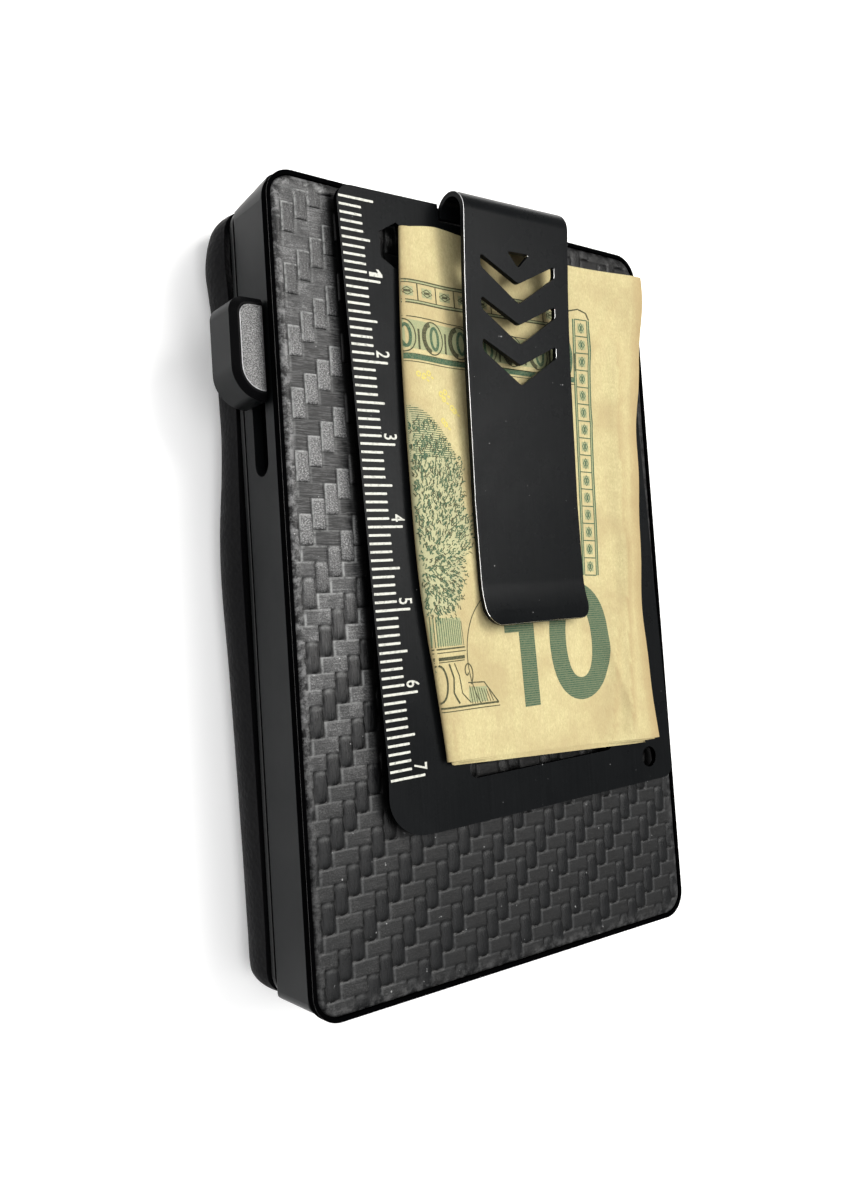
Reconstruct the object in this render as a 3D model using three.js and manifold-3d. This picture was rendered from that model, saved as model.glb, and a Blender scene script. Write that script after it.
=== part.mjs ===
// Pop-up card wallet with a ruler tool plate and a sprung money clip.
// Millimetres, +Z up. It lies on its rear pocket with the clip on top: +Y is the closed end
// where the clip is bent, -Y is the card mouth, and -X is the side with the slider.
import * as THREE from 'three';
import { mergeVertices } from 'three/addons/utils/BufferGeometryUtils.js';
import Module from 'manifold-3d';

const wasm = await Module();
wasm.setup();

// ---------------------------------------------------------------- driving dimensions
const COVER_WIDTH = 63.5;
const COVER_LENGTH = 99;
const COVER_CORNER = 3.6;
const CASE_WIDTH = 62.9;
const CASE_LENGTH = 96.8;
const CASE_HEIGHT = 7.95;
const CASE_WALL = 1.2;
const CASE_EDGE_RADIUS = 0.5;
const STACK_GAP = 0.05; // between layers that lie on each other

// heights of the layers, from the surface that the wallet lies on
const POCKET_HEIGHT = 6.8;
const POCKET_WALL = 1.35;
const REAR_PLATE_THICKNESS = 0.75;
const COVER_THICKNESS = 0.6;
const SKIN_THICKNESS = 0.65;
const PLATE_LIFT = 1.35; // air gap between the skin and the tool plate
const SHEET = 0.7; // steel sheet of the tool plate and the clip

const REAR_PLATE_Z = POCKET_HEIGHT + 2 * STACK_GAP;
const CASE_Z = REAR_PLATE_Z + REAR_PLATE_THICKNESS + STACK_GAP;
const CASE_TOP = CASE_Z + CASE_HEIGHT;
const COVER_Z = CASE_TOP + STACK_GAP;
const SKIN_Z = COVER_Z + COVER_THICKNESS + STACK_GAP;
const SKIN_TOP = SKIN_Z + SKIN_THICKNESS;
const PLATE_Z = SKIN_TOP + PLATE_LIFT;
const PLATE_TOP = PLATE_Z + SHEET;

// card space inside the case
const CARD_HALF = 27.9;
const RAIL_OUTER = 28.75;
const RAIL_END_Y = 26.5;
const MOUTH_Y = -CASE_LENGTH / 2;
const INSIDE_HALF = CASE_WIDTH / 2 - CASE_WALL;
const INSIDE_LOW = CASE_Z + CASE_WALL;
const INSIDE_HIGH = CASE_TOP - CASE_WALL;

// slider
const SLOT_WIDTH = 3.2;
const SLOT_Z = CASE_Z + CASE_HEIGHT / 2;
const SLOT_LOW_Y = 13.6;
const SLOT_HIGH_Y = 32.4;
const BUTTON_LOW_Y = 22;
const BUTTON_HIGH_Y = 34.2;
const BUTTON_INNER_X = CASE_WIDTH / 2 + 0.3;
const BUTTON_OUTER_X = CASE_WIDTH / 2 + 4.55;
const BUTTON_HEIGHT = 6.4;
const BUTTON_CHAMFER = 0.75;
const STEM_LOW_Y = 24.3;
const STEM_HIGH_Y = 32;
const STEM_HEIGHT = 2.8;
const GRIP_DEPTH = 0.35;
const GRIP_INSET = 1;

// tool plate and clip, in their own frame, which is turned a little on the wallet
const PLATE_SKEW = THREE.MathUtils.degToRad(1.89);
const PLATE_LEFT = -21.9;
const PLATE_RIGHT = 28.3;
const PLATE_BOTTOM = -29.7;
const PLATE_UPPER = 49.05;
const CLIP_LEFT = -6.1;
const CLIP_RIGHT = 12.2;
const BEND_Y = 47.2;
const BEND_RADIUS = 2.7;
const BEND_CLEARANCE = 0.5; // room for the bend to roll as the clip opens
const CLIP_TIP_Y = -5.6;
const CLIP_TIP_CORNER = 2.4;
const CHEVRON_PITCH = 5.3;
const CHEVRON_COUNT = 3;

// folded banknote under the clip, in the tool plate's frame
const NOTE_LOW_Y = -22;
const NOTE_HIGH_Y = 44.2;

// ---------------------------------------------------------------- helpers
const ARC_STEPS = 8;

function toSolid(geometry) {
  const bare = geometry.clone();
  bare.deleteAttribute('normal');
  bare.deleteAttribute('uv');
  const merged = mergeVertices(bare, 1e-4);
  const index = merged.index.array;
  const triangles = [];
  for (let i = 0; i < index.length; i += 3) {
    const [a, b, c] = [index[i], index[i + 1], index[i + 2]];
    if (a !== b && b !== c && c !== a) triangles.push(a, b, c);
  }
  return new wasm.Manifold(new wasm.Mesh({
    numProp: 3,
    vertProperties: new Float32Array(merged.attributes.position.array),
    triVerts: new Uint32Array(triangles),
  }));
}

function toGeometry(solid) {
  const { vertProperties, triVerts } = solid.getMesh();
  const geometry = new THREE.BufferGeometry();
  geometry.setAttribute('position', new THREE.BufferAttribute(new Float32Array(vertProperties), 3));
  geometry.setIndex(new THREE.BufferAttribute(new Uint32Array(triVerts), 1));
  geometry.computeVertexNormals();
  return geometry;
}

function named(name, solid, material) {
  const mesh = new THREE.Mesh(toGeometry(solid), material);
  mesh.name = name;
  return mesh;
}

// Rounded rectangle outline between two corners.
function roundedRect(x0, y0, x1, y1, radius) {
  const shape = new THREE.Shape();
  shape.moveTo(x0 + radius, y0);
  shape.lineTo(x1 - radius, y0);
  shape.absarc(x1 - radius, y0 + radius, radius, -Math.PI / 2, 0);
  shape.lineTo(x1, y1 - radius);
  shape.absarc(x1 - radius, y1 - radius, radius, 0, Math.PI / 2);
  shape.lineTo(x0 + radius, y1);
  shape.absarc(x0 + radius, y1 - radius, radius, Math.PI / 2, Math.PI);
  shape.lineTo(x0, y0 + radius);
  shape.absarc(x0 + radius, y0 + radius, radius, Math.PI, 1.5 * Math.PI);
  return shape;
}

// Upright prism of an XY outline from z0 to z1.
function prism(shape, z0, z1) {
  const geometry = new THREE.ExtrudeGeometry(shape, {
    depth: z1 - z0,
    bevelEnabled: false,
    curveSegments: ARC_STEPS,
  });
  return toSolid(geometry.translate(0, 0, z0));
}

// Prism of an XZ outline from y0 to y1.
function prismAlongY(shape, y0, y1) {
  const geometry = new THREE.ExtrudeGeometry(shape, {
    depth: y1 - y0,
    bevelEnabled: false,
    curveSegments: ARC_STEPS,
  });
  return toSolid(geometry.rotateX(Math.PI / 2).translate(0, y1, 0));
}

// Prism of a YZ outline from x0 to x1.
function prismAlongX(shape, x0, x1) {
  const geometry = new THREE.ExtrudeGeometry(shape, {
    depth: x1 - x0,
    bevelEnabled: false,
    curveSegments: ARC_STEPS,
  });
  const axesToYZX = new THREE.Matrix4().set(0, 0, 1, 0, 1, 0, 0, 0, 0, 1, 0, 0, 0, 0, 0, 1);
  return toSolid(geometry.applyMatrix4(axesToYZX).translate(x0, 0, 0));
}

// Closed solid through a stack of outlines [shape, z] that have the same number of points.
function loft(levels) {
  const rings = levels.map(([shape, z]) => shape.getPoints(ARC_STEPS).map((p) => [p.x, p.y, z]));
  const count = rings[0].length;
  const index = [];
  for (let level = 0; level + 1 < rings.length; level += 1) {
    for (let i = 0; i < count; i += 1) {
      const a = level * count + i;
      const b = level * count + (i + 1) % count;
      index.push(a, b, b + count, a, b + count, a + count);
    }
  }
  const cap = (level) => {
    const flat = rings[level].map(([x, y]) => new THREE.Vector2(x, y));
    return THREE.ShapeUtils.triangulateShape(flat, []);
  };
  const top = (rings.length - 1) * count;
  cap(0).forEach(([a, b, c]) => index.push(c, b, a));
  cap(rings.length - 1).forEach(([a, b, c]) => index.push(top + a, top + b, top + c));
  const geometry = new THREE.BufferGeometry();
  geometry.setAttribute('position', new THREE.Float32BufferAttribute(rings.flat(2), 3));
  geometry.setIndex(index);
  return toSolid(geometry);
}

function outline(points) {
  return new THREE.Shape(points.map(([x, y]) => new THREE.Vector2(x, y)));
}

function block(x0, y0, z0, x1, y1, z1) {
  const geometry = new THREE.BoxGeometry(x1 - x0, y1 - y0, z1 - z0);
  return toSolid(geometry.translate((x0 + x1) / 2, (y0 + y1) / 2, (z0 + z1) / 2));
}

function cylinder(x, y, radius, z0, z1, sides = 24) {
  const geometry = new THREE.CylinderGeometry(radius, radius, z1 - z0, sides);
  return toSolid(geometry.rotateX(Math.PI / 2).translate(x, y, (z0 + z1) / 2));
}

// Flat-head screw along Z with its head level with the origin and facing up. grow adds a
// clearance all round, for cutting the screw's own hole.
function screwGeometry(screw, grow) {
  const profile = [
    [0, -screw.length - grow],
    [screw.shankRadius + grow, -screw.length - grow],
    [screw.shankRadius + grow, -screw.headHeight - grow],
    [screw.headRadius + grow, -0.1],
    [screw.headRadius + grow, grow],
    [0, grow],
  ].map(([radius, height]) => new THREE.Vector2(radius, height));
  return new THREE.LatheGeometry(profile, 20).rotateX(Math.PI / 2);
}

// The same screw at a place, facing up, or down if facing is -1.
function flatScrew(screw, x, y, z, facing = 1, grow = 0) {
  const geometry = screwGeometry(screw, grow);
  if (facing < 0) geometry.rotateX(Math.PI);
  return toSolid(geometry.translate(x, y, z));
}

function finish(color, roughness, metalness) {
  return new THREE.MeshStandardMaterial({ color, roughness, metalness });
}

const anodised = finish(0x2d2f31, 0.45, 0.85);
const blackSteel = finish(0x1b1c1e, 0.4, 0.8);
const blackPlastic = finish(0x151516, 0.55, 0);
const carbonLeather = finish(0x333436, 0.5, 0.05);
const softLeather = finish(0x1d1c1d, 0.6, 0);
const greyFelt = finish(0x3a3a3d, 0.95, 0);
const screwSteel = finish(0x2a2a2b, 0.35, 0.9);
const paper = finish(0xe0cd9c, 0.85, 0);
const gripGrey = finish(0x6b6b68, 0.7, 0.3);

// ---------------------------------------------------------------- fasteners
const HOLE_CLEARANCE = 0.06;
const COVER_SCREW = { headRadius: 1.4, headHeight: 0.45, shankRadius: 0.7, length: 1.7 };
const COVER_SCREW_X = 29.2;
const COVER_SCREW_Y = 40;
const coverScrewPlaces = [
  [-COVER_SCREW_X, -COVER_SCREW_Y],
  [COVER_SCREW_X, -COVER_SCREW_Y],
  [COVER_SCREW_X, COVER_SCREW_Y],
  [-COVER_SCREW_X, COVER_SCREW_Y],
];
const FRONT_SCREW_Z = COVER_Z + COVER_THICKNESS;
const REAR_SCREW_Z = REAR_PLATE_Z;

const PLATE_SCREW = { headRadius: 1.9, headHeight: 0.55, shankRadius: 1, length: 3.2 };
const PLATE_SCREW_X = 3.05;
const plateScrewHeights = { upper: 36, lower: 6 };

const SLIDER_SCREW = { headRadius: 1.15, headHeight: 0.4, shankRadius: 0.6, length: 4.2 };

function coverScrewHoles(z, facing) {
  return coverScrewPlaces.map(([x, y]) => flatScrew(COVER_SCREW, x, y, z, facing, HOLE_CLEARANCE));
}

// The tool plate is turned on the wallet, so its screw holes are turned with it.
function plateScrewHoles(grow) {
  return Object.values(plateScrewHeights).map((y) => {
    const place = new THREE.Vector2(PLATE_SCREW_X, y).rotateAround(new THREE.Vector2(), PLATE_SKEW);
    return flatScrew(PLATE_SCREW, place.x, place.y, PLATE_TOP, 1, grow);
  });
}

function cut(solid, tools) {
  return tools.reduce((rest, tool) => rest.subtract(tool), solid);
}

// ---------------------------------------------------------------- rear pocket
function pocketShell() {
  const half = { x: 31.1, y: 48.2 };
  const outside = prism(roundedRect(-half.x, -half.y, half.x, half.y, 4), 0, POCKET_HEIGHT);
  const inside = block(
    -half.x + POCKET_WALL, -half.y + POCKET_WALL, POCKET_WALL,
    half.x - POCKET_WALL, half.y + 1, POCKET_HEIGHT + 1,
  );
  const thumbNotch = cylinder(0, half.y + 2, 9, -1, POCKET_WALL + 1, 40);
  return cut(outside, [inside, thumbNotch]);
}

function pocketLining() {
  return prism(roundedRect(-29.5, -46.6, 29.5, 48, 1), 5.75, POCKET_HEIGHT);
}

function rearPlate() {
  const shape = roundedRect(-CASE_WIDTH / 2, -CASE_LENGTH / 2, CASE_WIDTH / 2, CASE_LENGTH / 2, 3);
  const plate = prism(shape, REAR_PLATE_Z, REAR_PLATE_Z + REAR_PLATE_THICKNESS);
  return cut(plate, coverScrewHoles(REAR_SCREW_Z, -1));
}

// ---------------------------------------------------------------- card case
function caseShell() {
  const tube = roundedRect(-CASE_WIDTH / 2, CASE_Z, CASE_WIDTH / 2, CASE_TOP, CASE_EDGE_RADIUS);
  tube.holes.push(roundedRect(-INSIDE_HALF, INSIDE_LOW, INSIDE_HALF, INSIDE_HIGH, 0.3));
  const slot = roundedRect(
    SLOT_LOW_Y, SLOT_Z - SLOT_WIDTH / 2,
    SLOT_HIGH_Y, SLOT_Z + SLOT_WIDTH / 2, SLOT_WIDTH / 2 - 0.01,
  );
  return cut(prismAlongY(tube, -CASE_LENGTH / 2, CASE_LENGTH / 2), [
    prismAlongX(slot, -CASE_WIDTH / 2 - 1, -INSIDE_HALF + 1),
    ...coverScrewHoles(FRONT_SCREW_Z, 1),
    ...coverScrewHoles(REAR_SCREW_Z, -1),
  ]);
}

function endCap() {
  const low = CASE_LENGTH / 2 - 1.6;
  const shape = roundedRect(-INSIDE_HALF + 0.1, INSIDE_LOW + 0.1, INSIDE_HALF - 0.1, INSIDE_HIGH - 0.1, 0.3);
  return prismAlongY(shape, low, CASE_LENGTH / 2 - 0.1);
}

function guideRail(side) {
  const outer = side < 0 ? RAIL_OUTER : INSIDE_HALF - 0.15;
  const [x0, x1] = [side * CARD_HALF, side * outer].sort((a, b) => a - b);
  return block(x0, MOUTH_Y + 0.5, INSIDE_LOW + 0.1, x1, RAIL_END_Y, INSIDE_HIGH - 0.1);
}

function frictionFelt(front) {
  const thickness = 0.4;
  const z0 = front ? INSIDE_HIGH - STACK_GAP - thickness : INSIDE_LOW + STACK_GAP;
  return prism(roundedRect(-20, MOUTH_Y + 2.4, 20, MOUTH_Y + 14.4, 1.5), z0, z0 + thickness);
}

// ---------------------------------------------------------------- slider and card ejector
const EJECTOR_STEPS = 5;
const EJECTOR_FRONT_Y = 37.6;
const EJECTOR_BACK_Y = 46.4;
const STEP_LENGTH = 1.5;
const ARM_OUTER_X = INSIDE_HALF - 0.35;
const ARM_INNER_X = RAIL_OUTER + 0.15;

// Stairs push the lowest card furthest, so the cards leave the mouth fanned out.
function ejectorCarriage() {
  const low = INSIDE_LOW + 0.2;
  const rise = (INSIDE_HIGH - 0.2 - low) / EJECTOR_STEPS;
  const points = [[EJECTOR_BACK_Y, low]];
  for (let step = EJECTOR_STEPS; step > 0; step -= 1) {
    const y = EJECTOR_FRONT_Y + (step - 1) * STEP_LENGTH;
    points.push([y, low + step * rise], [y, low + (step - 1) * rise]);
  }
  points.splice(1, 0, [EJECTOR_BACK_Y, low + EJECTOR_STEPS * rise]);
  const stairs = prismAlongX(outline(points), -CARD_HALF + 0.3, INSIDE_HALF - 0.35);
  const armLow = SLOT_Z - 1.9;
  const armHigh = SLOT_Z + 1.9;
  const arm = block(-ARM_OUTER_X, STEM_LOW_Y, armLow, -ARM_INNER_X, EJECTOR_BACK_Y, armHigh);
  const link = block(-ARM_OUTER_X, 38.6, armLow, -CARD_HALF + 1, EJECTOR_BACK_Y, armHigh);
  return cut(arm.add(link).add(stairs), [sliderScrew(HOLE_CLEARANCE)]);
}

// D-shaped outline of the button, flat towards the case and drawn in by inset on its other
// sides. It runs anticlockwise.
function buttonOutline(inset) {
  const inner = -BUTTON_INNER_X - inset / 4;
  const outer = -BUTTON_OUTER_X + inset;
  const low = BUTTON_LOW_Y + inset;
  const high = BUTTON_HIGH_Y - inset;
  const upperCorner = 1.9 - inset / 2;
  const lowerCorner = 3.9 - inset;
  const shape = new THREE.Shape();
  shape.moveTo(inner, high);
  shape.lineTo(outer + upperCorner, high);
  shape.absarc(outer + upperCorner, high - upperCorner, upperCorner, Math.PI / 2, Math.PI);
  shape.lineTo(outer, low + lowerCorner);
  shape.absarc(outer + lowerCorner, low + lowerCorner, lowerCorner, Math.PI, 1.5 * Math.PI);
  shape.lineTo(inner, low);
  return shape;
}

function sliderScrew(grow = 0) {
  const geometry = screwGeometry(SLIDER_SCREW, grow).rotateY(Math.PI / 2);
  return toSolid(geometry.translate(-ARM_INNER_X, (STEM_LOW_Y + STEM_HIGH_Y) / 2, SLOT_Z));
}

function sliderButton() {
  const face = BUTTON_HEIGHT / 2;
  const body = loft([
    [buttonOutline(BUTTON_CHAMFER), SLOT_Z - face],
    [buttonOutline(0), SLOT_Z - face + BUTTON_CHAMFER],
    [buttonOutline(0), SLOT_Z + face - BUTTON_CHAMFER],
    [buttonOutline(BUTTON_CHAMFER), SLOT_Z + face],
  ]);
  const stemShape = roundedRect(
    STEM_LOW_Y, SLOT_Z - STEM_HEIGHT / 2,
    STEM_HIGH_Y, SLOT_Z + STEM_HEIGHT / 2, STEM_HEIGHT / 2 - 0.01,
  );
  const stem = prismAlongX(stemShape, -BUTTON_INNER_X - 1, -ARM_OUTER_X - 0.1);
  const recess = buttonOutline(GRIP_INSET - HOLE_CLEARANCE);
  return cut(body.add(stem), [
    prism(recess, SLOT_Z + face - GRIP_DEPTH - HOLE_CLEARANCE, SLOT_Z + face + 1),
    prism(recess, SLOT_Z - face - 1, SLOT_Z - face + GRIP_DEPTH + HOLE_CLEARANCE),
    sliderScrew(HOLE_CLEARANCE),
  ]);
}

// Speckled grip plate let into the end of the button that faces up, or down for the rear one.
function sliderGrip(front) {
  const face = BUTTON_HEIGHT / 2;
  const low = front ? face - GRIP_DEPTH : -face;
  return prism(buttonOutline(GRIP_INSET), SLOT_Z + low, SLOT_Z + low + GRIP_DEPTH);
}

// ---------------------------------------------------------------- front cover and its skin
function frontCover() {
  const half = { x: COVER_WIDTH / 2, y: COVER_LENGTH / 2 };
  const rim = 0.55;
  const tray = prism(roundedRect(-half.x, -half.y, half.x, half.y, COVER_CORNER), COVER_Z, SKIN_TOP - 0.1);
  const bed = prism(
    roundedRect(-half.x + rim, -half.y + rim, half.x - rim, half.y - rim, COVER_CORNER - rim),
    COVER_Z + COVER_THICKNESS, SKIN_TOP + 1,
  );
  return cut(tray, [bed, ...coverScrewHoles(FRONT_SCREW_Z, 1), ...plateScrewHoles(HOLE_CLEARANCE)]);
}

function frontSkin() {
  const half = { x: COVER_WIDTH / 2 - 0.6, y: COVER_LENGTH / 2 - 0.6 };
  const skin = prism(roundedRect(-half.x, -half.y, half.x, half.y, COVER_CORNER - 0.6), SKIN_Z, SKIN_TOP);
  return cut(skin, plateScrewHoles(HOLE_CLEARANCE));
}

// ---------------------------------------------------------------- tool plate
const BEVEL_START = new THREE.Vector2(PLATE_LEFT, -22);
const BEVEL_END = new THREE.Vector2(-14.9, PLATE_BOTTOM);
const BEVEL_SLOPE = THREE.MathUtils.degToRad(9);

function plateOutline() {
  const upperLeft = { x: PLATE_LEFT + 2.2, y: PLATE_UPPER - 2.2, radius: 2.2 };
  const lowerLeft = { x: PLATE_LEFT + 5.2, y: PLATE_BOTTOM + 5.2, radius: 5.2 };
  const lowerRight = { x: PLATE_RIGHT - 2, y: PLATE_BOTTOM + 2, radius: 2 };
  const shoulderX = 14.2; // the plate is full height only as far as here
  const shoulderY = 37;
  const hookY = 26;
  const hookRadius = PLATE_RIGHT - shoulderX;
  const tongueY = BEND_Y - BEND_CLEARANCE;
  const notch = 0.35;
  const shape = new THREE.Shape();
  shape.moveTo(lowerLeft.x, PLATE_BOTTOM);
  shape.lineTo(lowerRight.x, PLATE_BOTTOM);
  shape.absarc(lowerRight.x, lowerRight.y, lowerRight.radius, -Math.PI / 2, 0);
  shape.lineTo(PLATE_RIGHT, hookY);
  shape.quadraticCurveTo(PLATE_RIGHT - hookRadius + 2, hookY - 2, shoulderX, shoulderY);
  shape.lineTo(shoulderX, PLATE_UPPER - 1);
  shape.absarc(shoulderX - 1, PLATE_UPPER - 1, 1, 0, Math.PI / 2);
  shape.lineTo(CLIP_RIGHT + notch, PLATE_UPPER);
  shape.lineTo(CLIP_RIGHT + notch, tongueY);
  shape.lineTo(CLIP_LEFT - notch, tongueY);
  shape.lineTo(CLIP_LEFT - notch, PLATE_UPPER);
  shape.lineTo(upperLeft.x, PLATE_UPPER);
  shape.absarc(upperLeft.x, upperLeft.y, upperLeft.radius, Math.PI / 2, Math.PI);
  shape.lineTo(PLATE_LEFT, lowerLeft.y);
  shape.absarc(lowerLeft.x, lowerLeft.y, lowerLeft.radius, Math.PI, 1.5 * Math.PI);
  return shape;
}

// Block whose underside is the ground facet across the lower left corner.
function bevelCutter() {
  const along = BEVEL_START.clone().sub(BEVEL_END);
  const middle = BEVEL_START.clone().add(BEVEL_END).multiplyScalar(0.5);
  const geometry = new THREE.BoxGeometry(30, 10, 4).translate(0, 5, 2);
  geometry.rotateX(-BEVEL_SLOPE).rotateZ(along.angle());
  return toSolid(geometry.translate(middle.x, middle.y, PLATE_TOP));
}

function toolPlate() {
  const hexWrench = { x: -13.4, y: 42.35, radius: 3.15 };
  const keyHole = { x: 23.5, y: -26.3, radius: 1.45 };
  const low = PLATE_Z - 1;
  const high = PLATE_TOP + 1;
  return cut(prism(plateOutline(), PLATE_Z, PLATE_TOP), [
    cylinder(hexWrench.x, hexWrench.y, hexWrench.radius, low, high, 6),
    cylinder(keyHole.x, keyHole.y, keyHole.radius, low, high, 28),
    prism(roundedRect(-9.6, -24.2, 16.2, -20.2, 1.2), low, high),
    bevelCutter(),
    ...Object.values(plateScrewHeights).map(
      (y) => flatScrew(PLATE_SCREW, PLATE_SCREW_X, y, PLATE_TOP, 1, HOLE_CLEARANCE),
    ),
  ]);
}

function plateSpacer(y) {
  const shape = roundedRect(PLATE_SCREW_X - 6, y - 4, PLATE_SCREW_X + 6, y + 4, 1);
  const pad = prism(shape, SKIN_TOP + 0.1, PLATE_Z - STACK_GAP);
  return pad.subtract(flatScrew(PLATE_SCREW, PLATE_SCREW_X, y, PLATE_TOP, 1, HOLE_CLEARANCE));
}

function plateScrew(y) {
  const screw = flatScrew(PLATE_SCREW, PLATE_SCREW_X, y, PLATE_TOP);
  return screw.subtract(cylinder(PLATE_SCREW_X, y, 0.7, PLATE_TOP - 0.4, PLATE_TOP + 1, 6));
}

// ---------------------------------------------------------------- sprung money clip
// Middle of the sheet in the YZ plane: the bend, the long sloping strip, the turned-up tip.
function clipCentreline() {
  const points = [];
  const middleRadius = BEND_RADIUS - SHEET / 2;
  const bendZ = PLATE_Z + BEND_RADIUS;
  const bendSteps = 14;
  const bendEnd = THREE.MathUtils.degToRad(96);
  for (let step = 0; step <= bendSteps; step += 1) {
    const angle = THREE.MathUtils.lerp(-Math.PI / 2, bendEnd, step / bendSteps);
    points.push([BEND_Y + middleRadius * Math.cos(angle), bendZ + middleRadius * Math.sin(angle)]);
  }
  const strip = new THREE.SplineCurve([
    new THREE.Vector2(...points[bendSteps]),
    new THREE.Vector2(36.8, PLATE_TOP + 3.15),
    new THREE.Vector2(23.1, PLATE_TOP + 2.05),
    new THREE.Vector2(10, PLATE_TOP + 1.3),
    new THREE.Vector2(0, PLATE_TOP + 1.05),
  ]);
  strip.getPoints(20).slice(1).forEach((point) => points.push([point.x, point.y]));
  const tipSteps = 6;
  const tipRise = 1.2;
  for (let step = 1; step <= tipSteps; step += 1) {
    const along = step / tipSteps;
    points.push([CLIP_TIP_Y * along, PLATE_TOP + 1.05 + tipRise * along * along]);
  }
  return points.map(([y, z]) => new THREE.Vector2(y, z));
}

function clipProfile() {
  const middle = clipCentreline();
  const side = (sign) => middle.map((point, i) => {
    const before = middle[Math.max(i - 1, 0)];
    const after = middle[Math.min(i + 1, middle.length - 1)];
    const along = after.clone().sub(before).normalize();
    return new THREE.Vector2(point.x - sign * along.y * SHEET / 2, point.y + sign * along.x * SHEET / 2);
  });
  return new THREE.Shape([...side(-1), ...side(1).reverse()]);
}

// Chevron that points at the tip; its arms thin out towards their ends.
function chevron(centreX, apexY) {
  return outline([
    [centreX, apexY],
    [centreX + 6.5, apexY + 4.1],
    [centreX + 6.5, apexY + 5.65],
    [centreX, apexY + 2.6],
    [centreX - 6.5, apexY + 5.65],
    [centreX - 6.5, apexY + 4.1],
  ]);
}

function moneyClip() {
  const low = PLATE_Z - 1;
  const high = PLATE_TOP + 8;
  const cornerY = CLIP_TIP_Y + CLIP_TIP_CORNER;
  const plan = new THREE.Shape();
  plan.moveTo(CLIP_LEFT, BEND_Y + 10);
  plan.lineTo(CLIP_LEFT, cornerY);
  plan.absarc(CLIP_LEFT + CLIP_TIP_CORNER, cornerY, CLIP_TIP_CORNER, Math.PI, 1.5 * Math.PI);
  plan.lineTo(CLIP_RIGHT - CLIP_TIP_CORNER, CLIP_TIP_Y);
  plan.absarc(CLIP_RIGHT - CLIP_TIP_CORNER, cornerY, CLIP_TIP_CORNER, -Math.PI / 2, 0);
  plan.lineTo(CLIP_RIGHT, BEND_Y + 10);
  const strip = prismAlongX(clipProfile(), CLIP_LEFT - 1, CLIP_RIGHT + 1).intersect(prism(plan, low, high));
  const centreX = (CLIP_LEFT + CLIP_RIGHT) / 2;
  const windows = [outline([[centreX - 1.9, 42.65], [centreX, 40.7], [centreX + 1.9, 42.65]])];
  for (let i = 0; i < CHEVRON_COUNT; i += 1) {
    windows.push(chevron(centreX, 36.1 - i * CHEVRON_PITCH));
  }
  return cut(strip, windows.map((shape) => prism(shape, PLATE_TOP + 0.5, high)));
}

// ---------------------------------------------------------------- banknote
// Folded in four: thin under the clip, round at the fold on the left, and lifting on the
// right, where its free leaves spring open.
function foldedBanknote() {
  const low = PLATE_TOP + 0.15;
  const shape = new THREE.Shape();
  shape.moveTo(-13.6, low);
  shape.lineTo(26.4, low);
  shape.lineTo(26.6, PLATE_TOP + 2.9);
  shape.quadraticCurveTo(19, PLATE_TOP + 0.9, 12.9, PLATE_TOP + 0.55);
  shape.lineTo(-6.8, PLATE_TOP + 0.55);
  shape.quadraticCurveTo(-10, PLATE_TOP + 1.5, -12.6, PLATE_TOP + 1.35);
  shape.quadraticCurveTo(-15, PLATE_TOP + 1.1, -13.6, low);
  return prismAlongY(shape, NOTE_LOW_Y, NOTE_HIGH_Y);
}

// ---------------------------------------------------------------- assembly
function build() {
  const model = new THREE.Group();
  const turned = new THREE.Group();
  turned.rotation.z = PLATE_SKEW;
  model.add(
    named('pocket_shell', pocketShell(), softLeather),
    named('pocket_lining', pocketLining(), greyFelt),
    named('rear_plate', rearPlate(), blackSteel),
    named('case_shell', caseShell(), anodised),
    named('end_cap', endCap(), blackPlastic),
    named('guide_rail_left', guideRail(-1), blackPlastic),
    named('guide_rail_right', guideRail(1), blackPlastic),
    named('friction_felt_front', frictionFelt(true), greyFelt),
    named('friction_felt_rear', frictionFelt(false), greyFelt),
    named('ejector_carriage', ejectorCarriage(), blackPlastic),
    named('slider_button', sliderButton(), anodised),
    named('slider_grip_front', sliderGrip(true), gripGrey),
    named('slider_grip_rear', sliderGrip(false), gripGrey),
    named('slider_screw', sliderScrew(), screwSteel),
    named('front_cover', frontCover(), blackPlastic),
    named('front_skin', frontSkin(), carbonLeather),
    turned,
  );
  coverScrewPlaces.forEach(([x, y], i) => {
    model.add(
      named(`front_cover_screw_${i + 1}`, flatScrew(COVER_SCREW, x, y, FRONT_SCREW_Z, 1), screwSteel),
      named(`rear_plate_screw_${i + 1}`, flatScrew(COVER_SCREW, x, y, REAR_SCREW_Z, -1), screwSteel),
    );
  });
  Object.entries(plateScrewHeights).forEach(([place, y]) => {
    turned.add(
      named(`plate_spacer_${place}`, plateSpacer(y), blackPlastic),
      named(`plate_screw_${place}`, plateScrew(y), screwSteel),
    );
  });
  turned.add(
    named('tool_plate', toolPlate(), blackSteel),
    named('money_clip', moneyClip(), blackSteel),
    named('folded_banknote', foldedBanknote(), paper),
  );
  // The origin is the middle of the underside of the whole wallet's box.
  const box = new THREE.Box3().setFromObject(model, true);
  const middle = box.getCenter(new THREE.Vector3());
  model.position.set(-middle.x, -middle.y, -box.min.z);
  return model;
}

export default build();
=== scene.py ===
import math
import random

import bmesh
import bpy
import numpy as np
from mathutils import Matrix, Vector


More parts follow.
